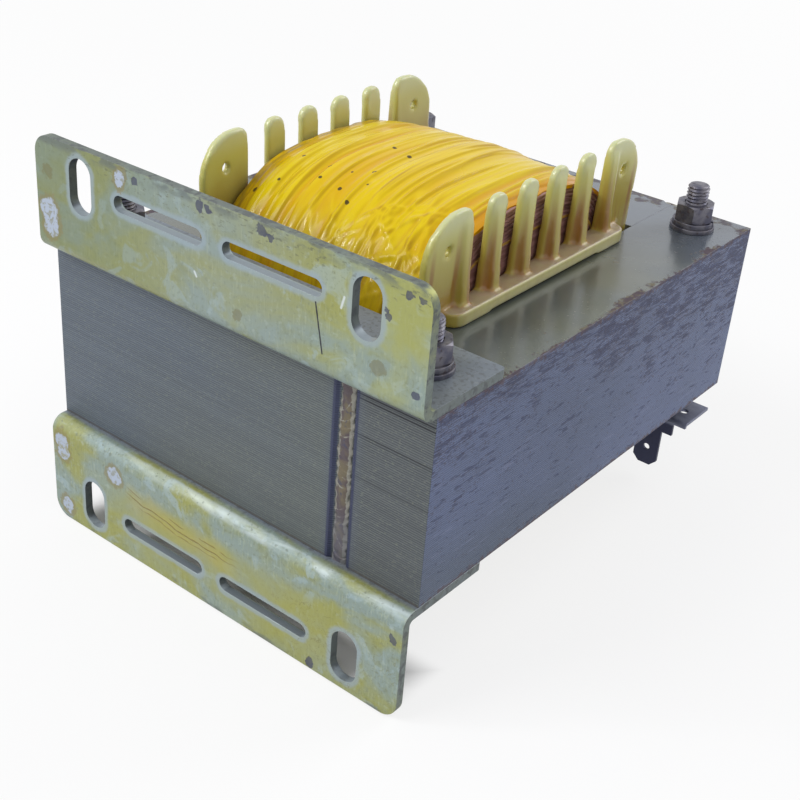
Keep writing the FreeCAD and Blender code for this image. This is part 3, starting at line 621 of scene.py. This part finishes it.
shelf = nylon.facing()[2].size().ramp(0.75, 0.95)
shelf = shelf * height.fade(SHELF_TOP - 0.1, SHELF_TOP + 0.5)
nylon.tint(shelf * 0.75, 177, 164, 146)
# Painted light: the outer edge of the foot plate pale yellow-green, as if lit
nylon.tint(out.ramp(FLANGE_OUT + 3.0, FLANGE_OUT + 3.5) * (1 - shelf) * 0.8, 184, 180, 116)
nylon.relief(cloud, 0.1)
nylon.relief(nylon.clouds(0.8, 3), 0.012)
nylon.surface("bobbin_nylon", Roughness=0.26 + cloud * 0.14, Subsurface_Weight=0.3,
              Subsurface_Radius=(0.0026, 0.0018, 0.0007), Coat_Weight=0.4, Coat_Roughness=0.12)

# %% [markdown]
# ## Yellow film tape
#
# Polyester tape is clear yellow film, lemon in one layer and orange in several. The finish
# paints its folds: orange where a fold lies deep or is steep, as painted shade in the creases,
# and lemon on the crests, as painted light. The mesh made further down stores how high the film
# lies and how steep it is as attributes named lay and fold. Small dark specks sit where dirt
# stuck to the glue. They are measured from above, so that a speck stays round on a slope.

# %% Tape film
SPECKS = [(-23.7, 36.3, 0.55), (-19.4, 38.9, 0.4), (-19.9, 47.2, 0.45), (-12.0, 46.6, 0.5),
          (-6.7, 61.4, 0.55), (-1.1, 59.3, 0.6), (-6.1, 46.7, 0.3), (-1.9, 48.7, 0.5),
          (-0.2, 44.7, 0.3), (-4.8, 41.4, 0.5), (-11.1, 42.4, 0.45), (-0.6, 38.8, 0.5)]

film = Finish("yellow_film_tape")
x, y, z = film.axes()
lay = film.stored("lay")
broad = film.clouds(11, 2, (1, 0.25, 0.6))
streak = film.clouds(1.1, 3, (1, 0.06, 0.12))
thread = film.clouds(0.5, 2, (1, 0.04, 0.08))
film.colour = film.mix(broad.ramp(0.36, 0.66), paint(218, 190, 0), paint(212, 170, 0))
# Painted shade: orange where the film lies low, in the valleys of its folds
film.tint(lay.fade(0.1, 0.55) * 0.8, 198, 130, 2)
# Painted light: lemon on the crests
film.tint(lay.ramp(0.5, 0.95) * 0.6, 224, 197, 8)
film.tint((0 - x).ramp(12, 24) * 0.5, 204, 186, 12)
film.tint(streak.ramp(0.52, 0.72) * 0.35, 202, 148, 40)
# Painted shade: darker orange on the steep sides of the folds
film.tint(film.stored("fold") * (0.3 + thread * 0.5), 160, 108, 10)
# Painted shade: the film darker and browner on the front of the coil low down, near the bracket
low = z.fade(25, 36) * y.fade(30, 40)
film.tint(low * (0.45 + streak * 0.5), 132, 104, 28)
dirt = film.clouds(0.9, 4, (1, 0.12, 0.25)).ramp(0.42, 0.56)
film.tint((0 - x).ramp(22.0, 27.0) * dirt * 0.55, 114, 96, 48)
specks = film.spots([(across, along, 0, radius) for across, along, radius in SPECKS],
                    (film.clouds(0.7, 3) - 0.5) * 0.4, film.stretched((1, 1, 0)))
film.tint(specks * 0.9, 52, 40, 30)
film.relief(streak, 0.05)
film.relief(film.clouds(4, 2, (1, 0.4, 0.6)), 0.2)
film.surface("outer_tape", Roughness=0.22 + broad * 0.12, Specular_IOR_Level=0.1,
             Coat_Weight=0.16, Coat_Roughness=0.04)

# %% [markdown]
# ## Enamelled wire, film between the windings, plated fasteners and tinned sheet
#
# These show only in narrow places, so each is one base colour with grain, wear and gloss of
# its own kind. Below its flat tab the terminal is painted dark, as painted shade, and the tab
# pale, as painted light.

# %% Wire and the film between the windings
wire = Finish("enamelled_wire")
grain = wire.clouds(1.3, 4, (1, 0.12, 1))
wire.colour = wire.mix(grain.ramp(0.35, 0.7), paint(134, 96, 92), paint(176, 132, 130))
wire.tint(wire.clouds(0.6, 3, (1, 0.3, 1)).ramp(0.6, 0.72) * 0.6, 206, 172, 170)
wire.relief(grain, 0.05)
wire.surface("magnet_wire", Roughness=0.3 + grain * 0.2, Metallic=0.1)

between = Finish("film_between_windings")
cloud = between.clouds(5, 3, (1, 0.3, 1))
between.colour = between.mix(cloud.ramp(0.35, 0.7), paint(196, 156, 78), paint(176, 128, 58))
between.relief(cloud, 0.1)
between.surface("insulation_film", Roughness=0.3 + cloud * 0.1)

# %% Fasteners and terminal
BLADE_UNDER = -26.6

plate = Finish("dull_plated_steel")
cloud = plate.clouds(2.2, 5)
grime = plate.clouds(1.0, 5).ramp(0.55, 0.68)
plate.colour = plate.mix(cloud.ramp(0.35, 0.65), paint(88, 88, 104), paint(122, 120, 128))
plate.tint(grime * 0.6, 74, 62, 58)
plate.relief(cloud + grime * 0.5, 0.04)
plate.surface("hardware_steel", Roughness=0.34 + cloud * 0.14 + grime * 0.2, Metallic=0.65)

tin = Finish("tinned_sheet")
cloud = tin.clouds(3.0, 4)
# Painted light and shade: the flat tab pale as if lit, the terminal below it dark as painted shade
lit_tab = tin.axes()[2].ramp(BLADE_UNDER - 0.8, BLADE_UNDER)
tin.colour = tin.mix(lit_tab, paint(38, 42, 70), paint(108, 112, 134))
tin.tint(cloud.ramp(0.5, 0.7) * lit_tab * 0.35, 140, 146, 164)
tin.relief(tin.clouds(0.5, 3, (0.2, 1, 1)), 0.02)
tin.surface("terminal_tin", Roughness=0.3 + cloud * 0.16, Metallic=0.45)

# %% Give each CAD node its finish
for part in frame["record"]["subparts"]:
    mesh = nodes[part["node"]].data
    mesh.materials.clear()
    mesh.materials.append(finishes[part["material_slot"]])

# %% [markdown]
# ## Rounded edges
#
# No real edge is sharp, and the thin bright line along a rounded edge is what tells the eye
# that it looks at metal or plastic. The CAD meshes must stay as they are, but modifiers may
# follow them. The first merges their loose triangles, the second joins the triangles that lie
# in one plane, and the third rounds the edges. Without the second, the long thin triangles
# between two holes would fold over when the rims of the holes are rounded, and show as lines.

# %% Round the edges of the CAD nodes
EDGE_RADIUS = 0.12
OTHER_RADII = {"upper_bracket": 0.3, "lower_bracket": 0.3, "terminal": 0.1}
SAME_PLACE = 0.01
SAME_PLANE = math.radians(0.5)
SHARP = math.radians(35)


def round_edges(node, radius):
    """Merge the triangles of a CAD node and round every edge sharper than 35 degrees."""
    merge = nodes[node].modifiers.new("merge", "WELD")
    merge.merge_threshold = SAME_PLACE * MM
    join = nodes[node].modifiers.new("join_flat_triangles", "DECIMATE")
    join.decimate_type = "DISSOLVE"
    join.angle_limit = SAME_PLANE
    rounding = nodes[node].modifiers.new("round", "BEVEL")
    rounding.width = radius * MM
    rounding.segments = 3
    rounding.limit_method = "ANGLE"
    rounding.angle_limit = SHARP


for node in nodes:
    round_edges(node, OTHER_RADII.get(node, EDGE_RADIUS))
print("the edges of", len(nodes), "nodes are rounded by", min(OTHER_RADII.values()), "to",
      max(OTHER_RADII.values()), "mm")

# %% [markdown]
# ## Surfaces from numbers
#
# The new pieces are surfaces of two parameters. Their points are worked out as one array of
# rows and columns, and the same function turns any such array into a closed mesh.

# %% A mesh from a grid of points
CREASE_ANGLE = math.radians(50)


def grid_mesh(name, grid, ring):
    """A mesh from rows of points that each close on themselves.

    With ring the last row meets the first. The sum over the faces of corner times the cross
    product of the next two is six times the volume, and where it is negative the faces point
    inwards and are turned round."""
    rows, columns = grid.shape[:2]
    index = np.arange(rows * columns).reshape(rows, columns)
    side = np.roll(index, -1, axis=1)
    quads = np.stack([index, side, np.roll(side, -1, axis=0), np.roll(index, -1, axis=0)], axis=-1)
    quads = quads[:rows if ring else rows - 1].reshape(-1, 4)
    points = grid.reshape(-1, 3) * MM
    a, b, c, d = (points[quads[:, i]] for i in range(4))
    if (a * (np.cross(b, c) + np.cross(c, d))).sum() < 0:
        quads = quads[:, ::-1]
    mesh = bpy.data.meshes.new(name)
    mesh.from_pydata(points.tolist(), [], quads.tolist())
    mesh.polygons.foreach_set("use_smooth", np.ones(len(quads), bool))
    mesh.set_sharp_from_angle(angle=CREASE_ANGLE)
    return mesh


def store(mesh, label, values):
    """Keep one number at each point of a mesh, for its finish to read."""
    mesh.attributes.new(label, "FLOAT", "POINT").data.foreach_set("value", values.ravel())


def in_scene(name, data):
    """A new object in the scene that shows this mesh, lamp or camera."""
    made = bpy.data.objects.new(name, data)
    bpy.context.scene.collection.objects.link(made)
    return made


def add_piece(name, mesh, slot, *stands_for):
    """Hang a finished mesh on the frame in place of the CAD nodes that it stands for."""
    piece = in_scene(name, mesh)
    mesh.materials.append(finishes[slot])
    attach(piece, "root")
    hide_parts(*stands_for)
    print(name, "has", len(mesh.polygons), "faces")


# %% Curves and steps that several pieces share


def soft_step(value):
    """0 below 0, 1 above 1, and 3t^2 - 2t^3 between."""
    t = np.clip(value, 0, 1)
    return t * t * (3 - 2 * t)


def even_oval(half_width, half_height, squareness, count, crowding=0.0):
    """Points of |y/width|^n + |z/height|^n = 1, from the top and round to it.

    They are evenly spaced, or closer at the top: the spacing is 1 - crowding times the cosine.
    The place of each along the curve comes with them, and the length of the whole curve."""
    turn = np.linspace(0, 2 * np.pi, 24001)
    y = half_width * np.sign(np.sin(turn)) * np.abs(np.sin(turn)) ** (2 / squareness)
    z = half_height * np.sign(np.cos(turn)) * np.abs(np.cos(turn)) ** (2 / squareness)
    length = np.concatenate([[0], np.cumsum(np.hypot(np.diff(y), np.diff(z)))])
    share = np.linspace(0, 1, count, endpoint=False)
    placed = length[-1] * (share - crowding * np.sin(2 * np.pi * share) / (2 * np.pi))
    return np.interp(placed, length, y), np.interp(placed, length, z), placed, length[-1]


def out_of_oval(y, z, half_width, half_height):
    """The direction out of an oval: y and z over the squares of the half sizes, at length 1."""
    across = np.stack([y / half_width ** 2, z / half_height ** 2])
    return across / np.linalg.norm(across, axis=0)


def waves(rng, x, s, count, across, along):
    """A sum of sines with random directions: across and along are their shortest lengths."""
    total = np.zeros(np.broadcast(x, s).shape)
    for _ in range(count):
        fx = rng.uniform(-1, 1) * 2 * np.pi / across
        fs = rng.uniform(-1, 1) * 2 * np.pi / along
        total += np.sin(fx * x + fs * s + rng.uniform(0, 2 * np.pi))
    return total / math.sqrt(count)


def close_ends(grid, x, y):
    """Draw both ends of an upright bar together at one place across it."""
    ends = grid[[0, -1]].copy()
    ends[:, :, 0] = x
    ends[:, :, 1] = y
    return np.concatenate([ends[:1], grid, ends[1:]])


print("a soft step goes through", soft_step(np.linspace(0, 1, 5)).round(2))

# %% [markdown]
# ## The moulded bobbin
#
# A moulding leaves no sharp edge: the steel mould is rounded everywhere, and melted nylon
# shrinks a little more where it is thick. The CAD bobbin has the right walls and ribs, but a
# bevel can't round the places where they run into each other. So a merged copy is turned into
# even little squares and smoothed, which melts the ribs into the fingers, and then the flat
# parts are thinned out again.

# %% Melt the edges of the bobbin
SQUARE = 0.45
MELT_ROUNDS = 7
KEPT_SHARE = 0.3


def moulded_bobbin():
    """A merged copy of the CAD bobbin, remeshed, smoothed and thinned by modifiers."""
    merged = bmesh.new()
    merged.from_mesh(nodes["bobbin"].data)
    bmesh.ops.remove_doubles(merged, verts=merged.verts, dist=SAME_PLACE * MM)
    rough = bpy.data.meshes.new("bobbin_before_melting")
    merged.to_mesh(rough)
    merged.free()
    holder = in_scene("bobbin_before_melting", rough)
    squares = holder.modifiers.new("even_squares", "REMESH")
    squares.mode = "VOXEL"
    squares.voxel_size = SQUARE * MM
    melt = holder.modifiers.new("melt", "SMOOTH")
    melt.factor = 0.5
    melt.iterations = MELT_ROUNDS
    thin = holder.modifiers.new("thin_out", "DECIMATE")
    thin.ratio = KEPT_SHARE
    evaluated = holder.evaluated_get(bpy.context.evaluated_depsgraph_get())
    mesh = bpy.data.meshes.new_from_object(evaluated)
    bpy.data.objects.remove(holder)
    mesh.polygons.foreach_set("use_smooth", np.ones(len(mesh.polygons), bool))
    mesh.materials.clear()
    add_piece("moulded_bobbin", mesh, "bobbin_nylon", "bobbin")


moulded_bobbin()

# %% [markdown]
# ## The taped coil
#
# Film tape is wound round the coil by hand. Each strip ends a little further in than the one
# under it, so the left end is a stair of thin edges, the middle is stretched into long lines,
# and where the film goes round the front corner it puckers into slanting wrinkles. The surface
# is an oval tube. Its skin is pushed in and out by three sums: steps at the strips' edges,
# long waves, and short ridges for the wrinkles.

# %% How far the film stands out
# Where along x each strip ends, and how far the film steps up or down there
STRIP_EDGES = [(-26.2, 0.16), (-25.3, 0.14), (-24.4, 0.13), (-23.2, 0.16), (-21.6, 0.15),
               (-19.8, -0.12), (-17.6, 0.18), (-13.6, -0.14), (-10.8, 0.2), (-5.2, -0.12),
               (-1.6, 0.18), (4.6, 0.14), (9.4, -0.22), (14.2, 0.16), (18.6, -0.2),
               (22.4, -0.18), (25.4, -0.2)]
EDGE_WIDTH = 0.45
PUCKERS = 38
PLEATS = 44


def film_relief(rng, x, s):
    """The height of the film, a sum over three lists, with x along the coil and s round it.

    It has a soft step for each strip's edge, slow sines, and ridges that fall off with the
    square of the distance from their line. A pucker's ridge also falls off along its line, with
    the fourth power of the distance. A pleat's ridge runs round the coil between two steps."""
    height = np.zeros(np.broadcast(x, s).shape)
    for place, step in STRIP_EDGES:
        wander = place + 0.7 * waves(rng, 0.0 * s, s, 5, 9.0, 34.0) + 0.022 * s
        height += step * soft_step((x - wander) / EDGE_WIDTH)
    height += 0.11 * waves(rng, x, s, 9, 9.0, 90.0)
    height += 0.045 * waves(rng, x, s, 12, 2.2, 60.0)
    # The front of the coil is where s is negative, and its upper corner is near s = -33
    for _ in range(PUCKERS):
        at_x = rng.uniform(-4, 25)
        at_s = rng.uniform(-42, -18)
        heading = math.radians(rng.choice([rng.uniform(20, 55), rng.uniform(100, 140)]))
        length = rng.uniform(3.0, 8.5)
        width = rng.uniform(0.35, 0.9)
        u = (x - at_x) * math.cos(heading) + (s - at_s) * math.sin(heading)
        v = (s - at_s) * math.cos(heading) - (x - at_x) * math.sin(heading) + 0.16 * u * u / length
        height += rng.uniform(0.1, 0.36) * np.exp(-(v / width) ** 2 - (u / length) ** 4)
    for _ in range(PLEATS):
        at_x = rng.uniform(-25, 25)
        ridge = at_x + 0.03 * s * rng.uniform(-1, 1) + 0.6 * np.sin(s / rng.uniform(14, 30) + at_x)
        part = soft_step((s - rng.uniform(-55, -20)) / 9)
        part = part * soft_step((rng.uniform(-5, 60) - s) / 12) * rng.uniform(0.12, 0.34)
        height += part * np.exp(-((x - ridge) / rng.uniform(0.3, 0.8)) ** 2)
    return height - height.mean()


print("the film has", len(STRIP_EDGES), "edges,", PUCKERS, "puckers and", PLEATS, "pleats")

# %% The creased tape
TAPE_SQUARENESS = 2.85
TAPE_CROWN = 1.5
TAPE_BUILD = 0.8
LOWEST, HIGHEST = -0.5, 0.6


def creased_tape():
    """The skin of the coil: an oval tube with a crown, pushed outwards by the film's relief.

    The crown falls off with the square of the distance from the middle. The relief is kept
    between -0.5 and 0.6 mm, and its two ends are a little frayed. Lay is how high the film
    lies, and fold is how steep it is along the coil."""
    rng = np.random.default_rng(11)
    around, along = 470, 188
    half_width = (tape_high[1] - tape_low[1]) / 2
    half_height = tape_high[2] - TAPE_CROWN
    half_length = tape_high[0] - 0.05
    y, z, s, whole = even_oval(half_width, half_height, TAPE_SQUARENESS, around, 0.5)
    s = np.where(s > whole / 2, s - whole, s)
    x = np.linspace(-half_length, half_length, along)[:, None]
    height = film_relief(rng, x, s)
    lay = np.clip(0.5 + height / 0.8, 0, 1)
    slope = np.gradient(height, axis=0) / (x[1] - x[0])
    fold = np.clip(np.abs(slope) / 0.7 - 0.15, 0, 1)
    height = np.clip(height, LOWEST, HIGHEST)

    crown = TAPE_CROWN * (1 - (x / half_length) ** 2)
    taller = (half_height + crown) / half_height
    outward = out_of_oval(y, z, half_width, half_height)
    frayed = 0.25 * waves(rng, 0.0 * s, s, 9, 9.0, 5.0)
    end = soft_step((np.abs(x) - 20) / 7)
    skin = np.stack([x + np.sign(x) * end * (frayed - 0.45),
                     COIL_MIDDLE + y + outward[0] * height,
                     z * taller + outward[1] * height], axis=-1)
    inner = skin[[-1, 0]].copy()
    inner[:, :, 1] -= outward[0] * TAPE_BUILD
    inner[:, :, 2] -= outward[1] * TAPE_BUILD
    mesh = grid_mesh("creased_tape", np.concatenate([skin, inner]), ring=True)
    for label, values in (("lay", lay), ("fold", fold)):
        store(mesh, label, np.concatenate([values, values[[-1, 0]] * 0.4]))
    add_piece("creased_tape", mesh, "outer_tape", "outer_tape")


creased_tape()

# %% [markdown]
# ## The turns of the winding
#
# Between the fingers of the comb one looks at the end of the winding, where the wire lies in
# layers. A real winding has hundreds of turns. Here only the layers at the two ends are made,
# as ridges that run round the coil, since tape covers the rest.

# %% The wound wire
WIRE = 0.92
WINDING_BUILD = 7.4


def wound_wire():
    """An oval tube whose end walls ripple.

    A wall's place along x rises and falls with the size of the sine of the depth over the wire's
    thickness, and slow waves make it uneven."""
    rng = np.random.default_rng(5)
    around, deep = 240, 65
    half_width = (winding_high[1] - winding_low[1]) / 2
    half_length = winding_high[0]
    half_height = winding_high[2] - TAPE_CROWN
    y, z, s, _ = even_oval(half_width, half_height, TAPE_SQUARENESS, around)
    outward = out_of_oval(y, z, half_width, half_height)
    depth = np.linspace(0.0, WINDING_BUILD, deep)[:, None]
    uneven = 0.16 * waves(rng, 0 * s, s, 7, 9.0, 14.0)
    uneven = uneven + 0.1 * waves(rng, depth * 3.0, s, 7, 5.0, 9.0)
    ripple = 0.3 * np.abs(np.sin(np.pi * depth / WIRE + 0.5 * np.sin(s / 9.0))) - 0.5
    wall = half_length + np.minimum(ripple + uneven, 0.0)
    right = np.stack([wall, COIL_MIDDLE + y - outward[0] * depth, z - outward[1] * depth], axis=-1)
    left = right[::-1].copy()
    left[:, :, 0] *= -1
    mesh = grid_mesh("wound_wire", np.concatenate([right, left]), ring=True)
    add_piece("wound_wire", mesh, "magnet_wire", "secondary_winding")


wound_wire()

# %% [markdown]
# ## Threads
#
# The rods are M5, with a thread that rises 0.8 mm a turn. A thread is a cylinder whose radius
# depends on height minus a share of the angle, so one formula gives the whole helix. Only the
# ends show, so the rows of points are close there and far apart inside the core.

# %% Threaded rods
PITCH = 0.8
ROWS_A_TURN = 8
ROD_SIDES = 28
THREAD_DEPTH = 0.34
TIP_ROUND = 1.0
SHOWN_END = 9.6


def threaded_rod(corner):
    """A rod whose radius falls by the depth of the thread times |2f - 1| in a soft step.

    Here f is the part past the whole number of height over pitch minus angle over a turn."""
    low, high = span(f"stud_{corner}")
    radius = (high[0] - low[0]) / 2
    middle = (low + high) / 2
    step = PITCH / ROWS_A_TURN
    foot = np.arange(low[2], low[2] + SHOWN_END, step)
    head = np.arange(high[2], high[2] - SHOWN_END, -step)[::-1]
    rows = np.concatenate([foot, head])[:, None]
    angle = np.linspace(0, 2 * np.pi, ROD_SIDES, endpoint=False)
    share = np.mod(rows / PITCH - angle / (2 * np.pi), 1.0)
    groove = soft_step(np.abs(2 * share - 1) * 1.3)
    from_end = np.minimum(rows - low[2], high[2] - rows)
    back_off = np.clip(1 - from_end / TIP_ROUND, 0, 1)
    dome = radius - 0.75 * TIP_ROUND * (1 - np.sqrt(1 - back_off ** 2))
    r = np.minimum(radius - THREAD_DEPTH * groove, dome)
    grid = np.stack([middle[0] + r * np.cos(angle), middle[1] + r * np.sin(angle),
                     rows + 0 * angle], axis=-1)
    name = f"threaded_rod_{corner}"
    mesh = grid_mesh(name, close_ends(grid, middle[0], middle[1]), ring=False)
    add_piece(name, mesh, "hardware_steel", f"stud_{corner}")


for corner in ("front_left", "front_right", "rear_left", "rear_right"):
    threaded_rod(corner)

# %% [markdown]
# ## The weld beads
#
# Each bead is half a bar that stands on the floor of its notch. Every drop froze with a curved
# front edge, so the ripple depends on the height plus a part of how far round the bar one is.

# %% Weld beads
DROPS = 15
DROP = 2 * CORE_TOP / DROPS
BEAD_HALF_WIDTH = 1.95
BEAD_HEIGHT = 1.0


def weld_bead(name, inwards):
    """A low oval bar whose swell grows over each drop and falls back where the next one begins.

    A drop's share is height over its length plus a part of how far up the bar the point is."""
    rng = np.random.default_rng(3)
    low, high = span(name)
    rows = np.linspace(low[2], high[2], 320)[:, None]
    angle = np.linspace(0, 2 * np.pi, 48, endpoint=False)
    rise = np.sin(angle).clip(0, 1)
    slant = 0.5 * np.sin(rows * 0.31 + 1.0) * np.cos(angle)
    share = np.mod(rows / DROP + 0.6 * rise + 0.45 * np.sin(rows * 0.62) + slant, 1.0)
    ridge = soft_step(share * 1.15) - soft_step((share - 0.88) / 0.12)
    lumps = 0.06 * waves(rng, rows, angle * 1.4, 10, 1.6, 2.0)
    swell = np.clip(0.9 + 0.1 * ridge + lumps, 0.72, 1.06)
    width = BEAD_HALF_WIDTH * (swell + 0.05 * waves(rng, rows, 0 * angle, 6, 2.4, 9.0))
    floor = high[1] if inwards > 0 else low[1]
    stand = inwards * BEAD_HEIGHT * swell * rise ** 0.75
    grid = np.stack([JOINT_X + width * np.cos(angle), floor - stand, rows + 0 * angle], axis=-1)
    mesh = grid_mesh(f"{name}_drops", close_ends(grid, JOINT_X, floor), ring=False)
    rims = soft_step((np.abs(np.cos(angle)) - 0.4) / 0.3) + 0 * rows
    froth = np.maximum(rims, 0.75 - 0.75 * soft_step(np.minimum(share, 1 - share) / 0.07))
    store(mesh, "froth", np.concatenate([froth[:1], froth, froth[-1:]]))
    add_piece(f"{name}_drops", mesh, "weld_metal", name)


weld_bead("weld_bead_front", 1)
weld_bead("weld_bead_back", -1)

# %% [markdown]
# ## Floor and light
#
# The part lies on a white ground on the lower bracket's edge and the tips of the lower
# fingers, which are 2.1 mm shorter, so the ground is tipped by about a degree to touch both.
# Seen by the camera, in metal or through a hole the room is white, while the light that it
# sheds on the part stays soft.

# %% The ground
# The finger tips touch the ground this far behind the bracket's edge
TIP_REACH = 93.0
GROUND_GAP = 0.02
GROUND_HALF = 2500
lower_edge = -span("lower_bracket")[0][2]
slope = (lower_edge - FINGER_TIP) / TIP_REACH


def ground_place(x, y):
    """The height of the ground rises with y, so that it touches the edge and the tips."""
    return (x * MM, y * MM, (slope * y - lower_edge - GROUND_GAP) * MM)


corners = [ground_place(x * GROUND_HALF, y * GROUND_HALF)
           for x, y in ((-1, -1), (1, -1), (1, 1), (-1, 1))]
ground_mesh = bpy.data.meshes.new("ground")
ground_mesh.from_pydata(corners, [], [(0, 1, 2, 3)])
ground = in_scene("ground", ground_mesh)
print("the ground rises by", round(math.degrees(math.atan(slope)), 2), "degrees")

# %% White where it is seen


def background_seen(net):
    """1 on rays from the camera, a reflection or through glass, and 0 on those that give light."""
    rays = net.node("LightPath").outputs
    return most_of([Field(net, rays[name]) for name in
                    ("Is Camera Ray", "Is Glossy Ray", "Is Transmission Ray")])


def either(net, mask, first, second):
    """One shader where the mask is 0 and another where it is 1."""
    return net.node("MixShader", None, {0: mask, 1: first, 2: second}).outputs["Shader"]


white = Finish("white_ground")
x, y, _ = white.axes()
# Behind the lower upright the ground stays plain, so that the shadow there is whole
lit = most_of([(x.size() - 50).ramp(-9, -1), (y - 10).ramp(0, 9), (0 - y).ramp(-2.5, 1)])
far = white.distance((0, 60, -45)).ramp(160, 900)
matt = white.node("BsdfDiffuse", None, {"Color": paint(236, 236, 238)})
bright = white.node("Emission", None, {"Color": (1, 1, 1, 1), "Strength": 1.0})
clear = white.node("BsdfTransparent")
behind = white.node("NewGeometry").outputs["Backfacing"]
shining = background_seen(white) * lit * (0.8 + far * 0.2)
seen = either(white, shining, matt.outputs["BSDF"], bright.outputs["Emission"])
white.node("OutputMaterial", None,
           {"Surface": either(white, behind, seen, clear.outputs["BSDF"])})
ground_mesh.materials.append(white.owner)
white.say("its two sides")

# %% The light
ROOM_LIGHT = 0.62

room = Net("white_room", bpy.data.worlds)
sky = room.node("Background", None, {
    "Color": (1, 1, 1, 1), "Strength": background_seen(room) * (1 - ROOM_LIGHT) + ROOM_LIGHT})
room.node("OutputWorld", None, {"Surface": sky.outputs["Background"]})
bpy.context.scene.world = room.owner


def soft_lamp(name, place, target, width, power):
    """A square lamp that looks from one place to another, both in millimetres."""
    lamp = bpy.data.lights.new(name, "AREA")
    lamp.size = width * MM
    lamp.energy = power
    holder = in_scene(name, lamp)
    holder.location = Vector(place) * MM
    away = Vector(place) - Vector(target)
    holder.rotation_euler = away.to_track_quat("Z", "Y").to_euler()
    print(name, "stands", round(away.length), "mm off")


soft_lamp("window_lamp", (-320, -420, 620), (0, 60, 0), 420, 3.4)
soft_lamp("small_lamp", (-340, -300, 400), (0, 40, 20), 70, 0.4)
soft_lamp("back_lamp", (260, 620, 420), (0, 60, 0), 380, 1.4)

# %% [markdown]
# ## Camera
#
# The photograph is a crop from the side of a larger one. The shift of the lens that this asks
# for would push the part out of the frame in other views. So the shift is small, and the camera
# stands and turns so that the part's corners land within about ten pixels of their places.

# %% The camera
AZIMUTH, ELEVATION, ROLL = (math.radians(angle) for angle in (38.402, 29.629, 3.626))
CAMERA_PLACE = Vector((160.23, -158.75, 137.74)) * MM

camera = bpy.data.cameras.new("camera")
camera.lens = 60.676
camera.shift_x = 0.06
camera.shift_y = -0.02
eye = in_scene("camera", camera)
back = Vector((math.sin(AZIMUTH) * math.cos(ELEVATION), -math.cos(AZIMUTH) * math.cos(ELEVATION),
               math.sin(ELEVATION)))
turn = back.to_track_quat("Z", "Y").to_matrix() @ Matrix.Rotation(ROLL, 3, "Z")
eye.matrix_world = Matrix.Translation(CAMERA_PLACE) @ turn.to_4x4()
bpy.context.scene.camera = eye
bpy.context.scene.view_settings.view_transform = "Standard"
print("the camera is", round((CAMERA_PLACE - Vector((0, 0.06, 0))).length, 3), "m from the core")
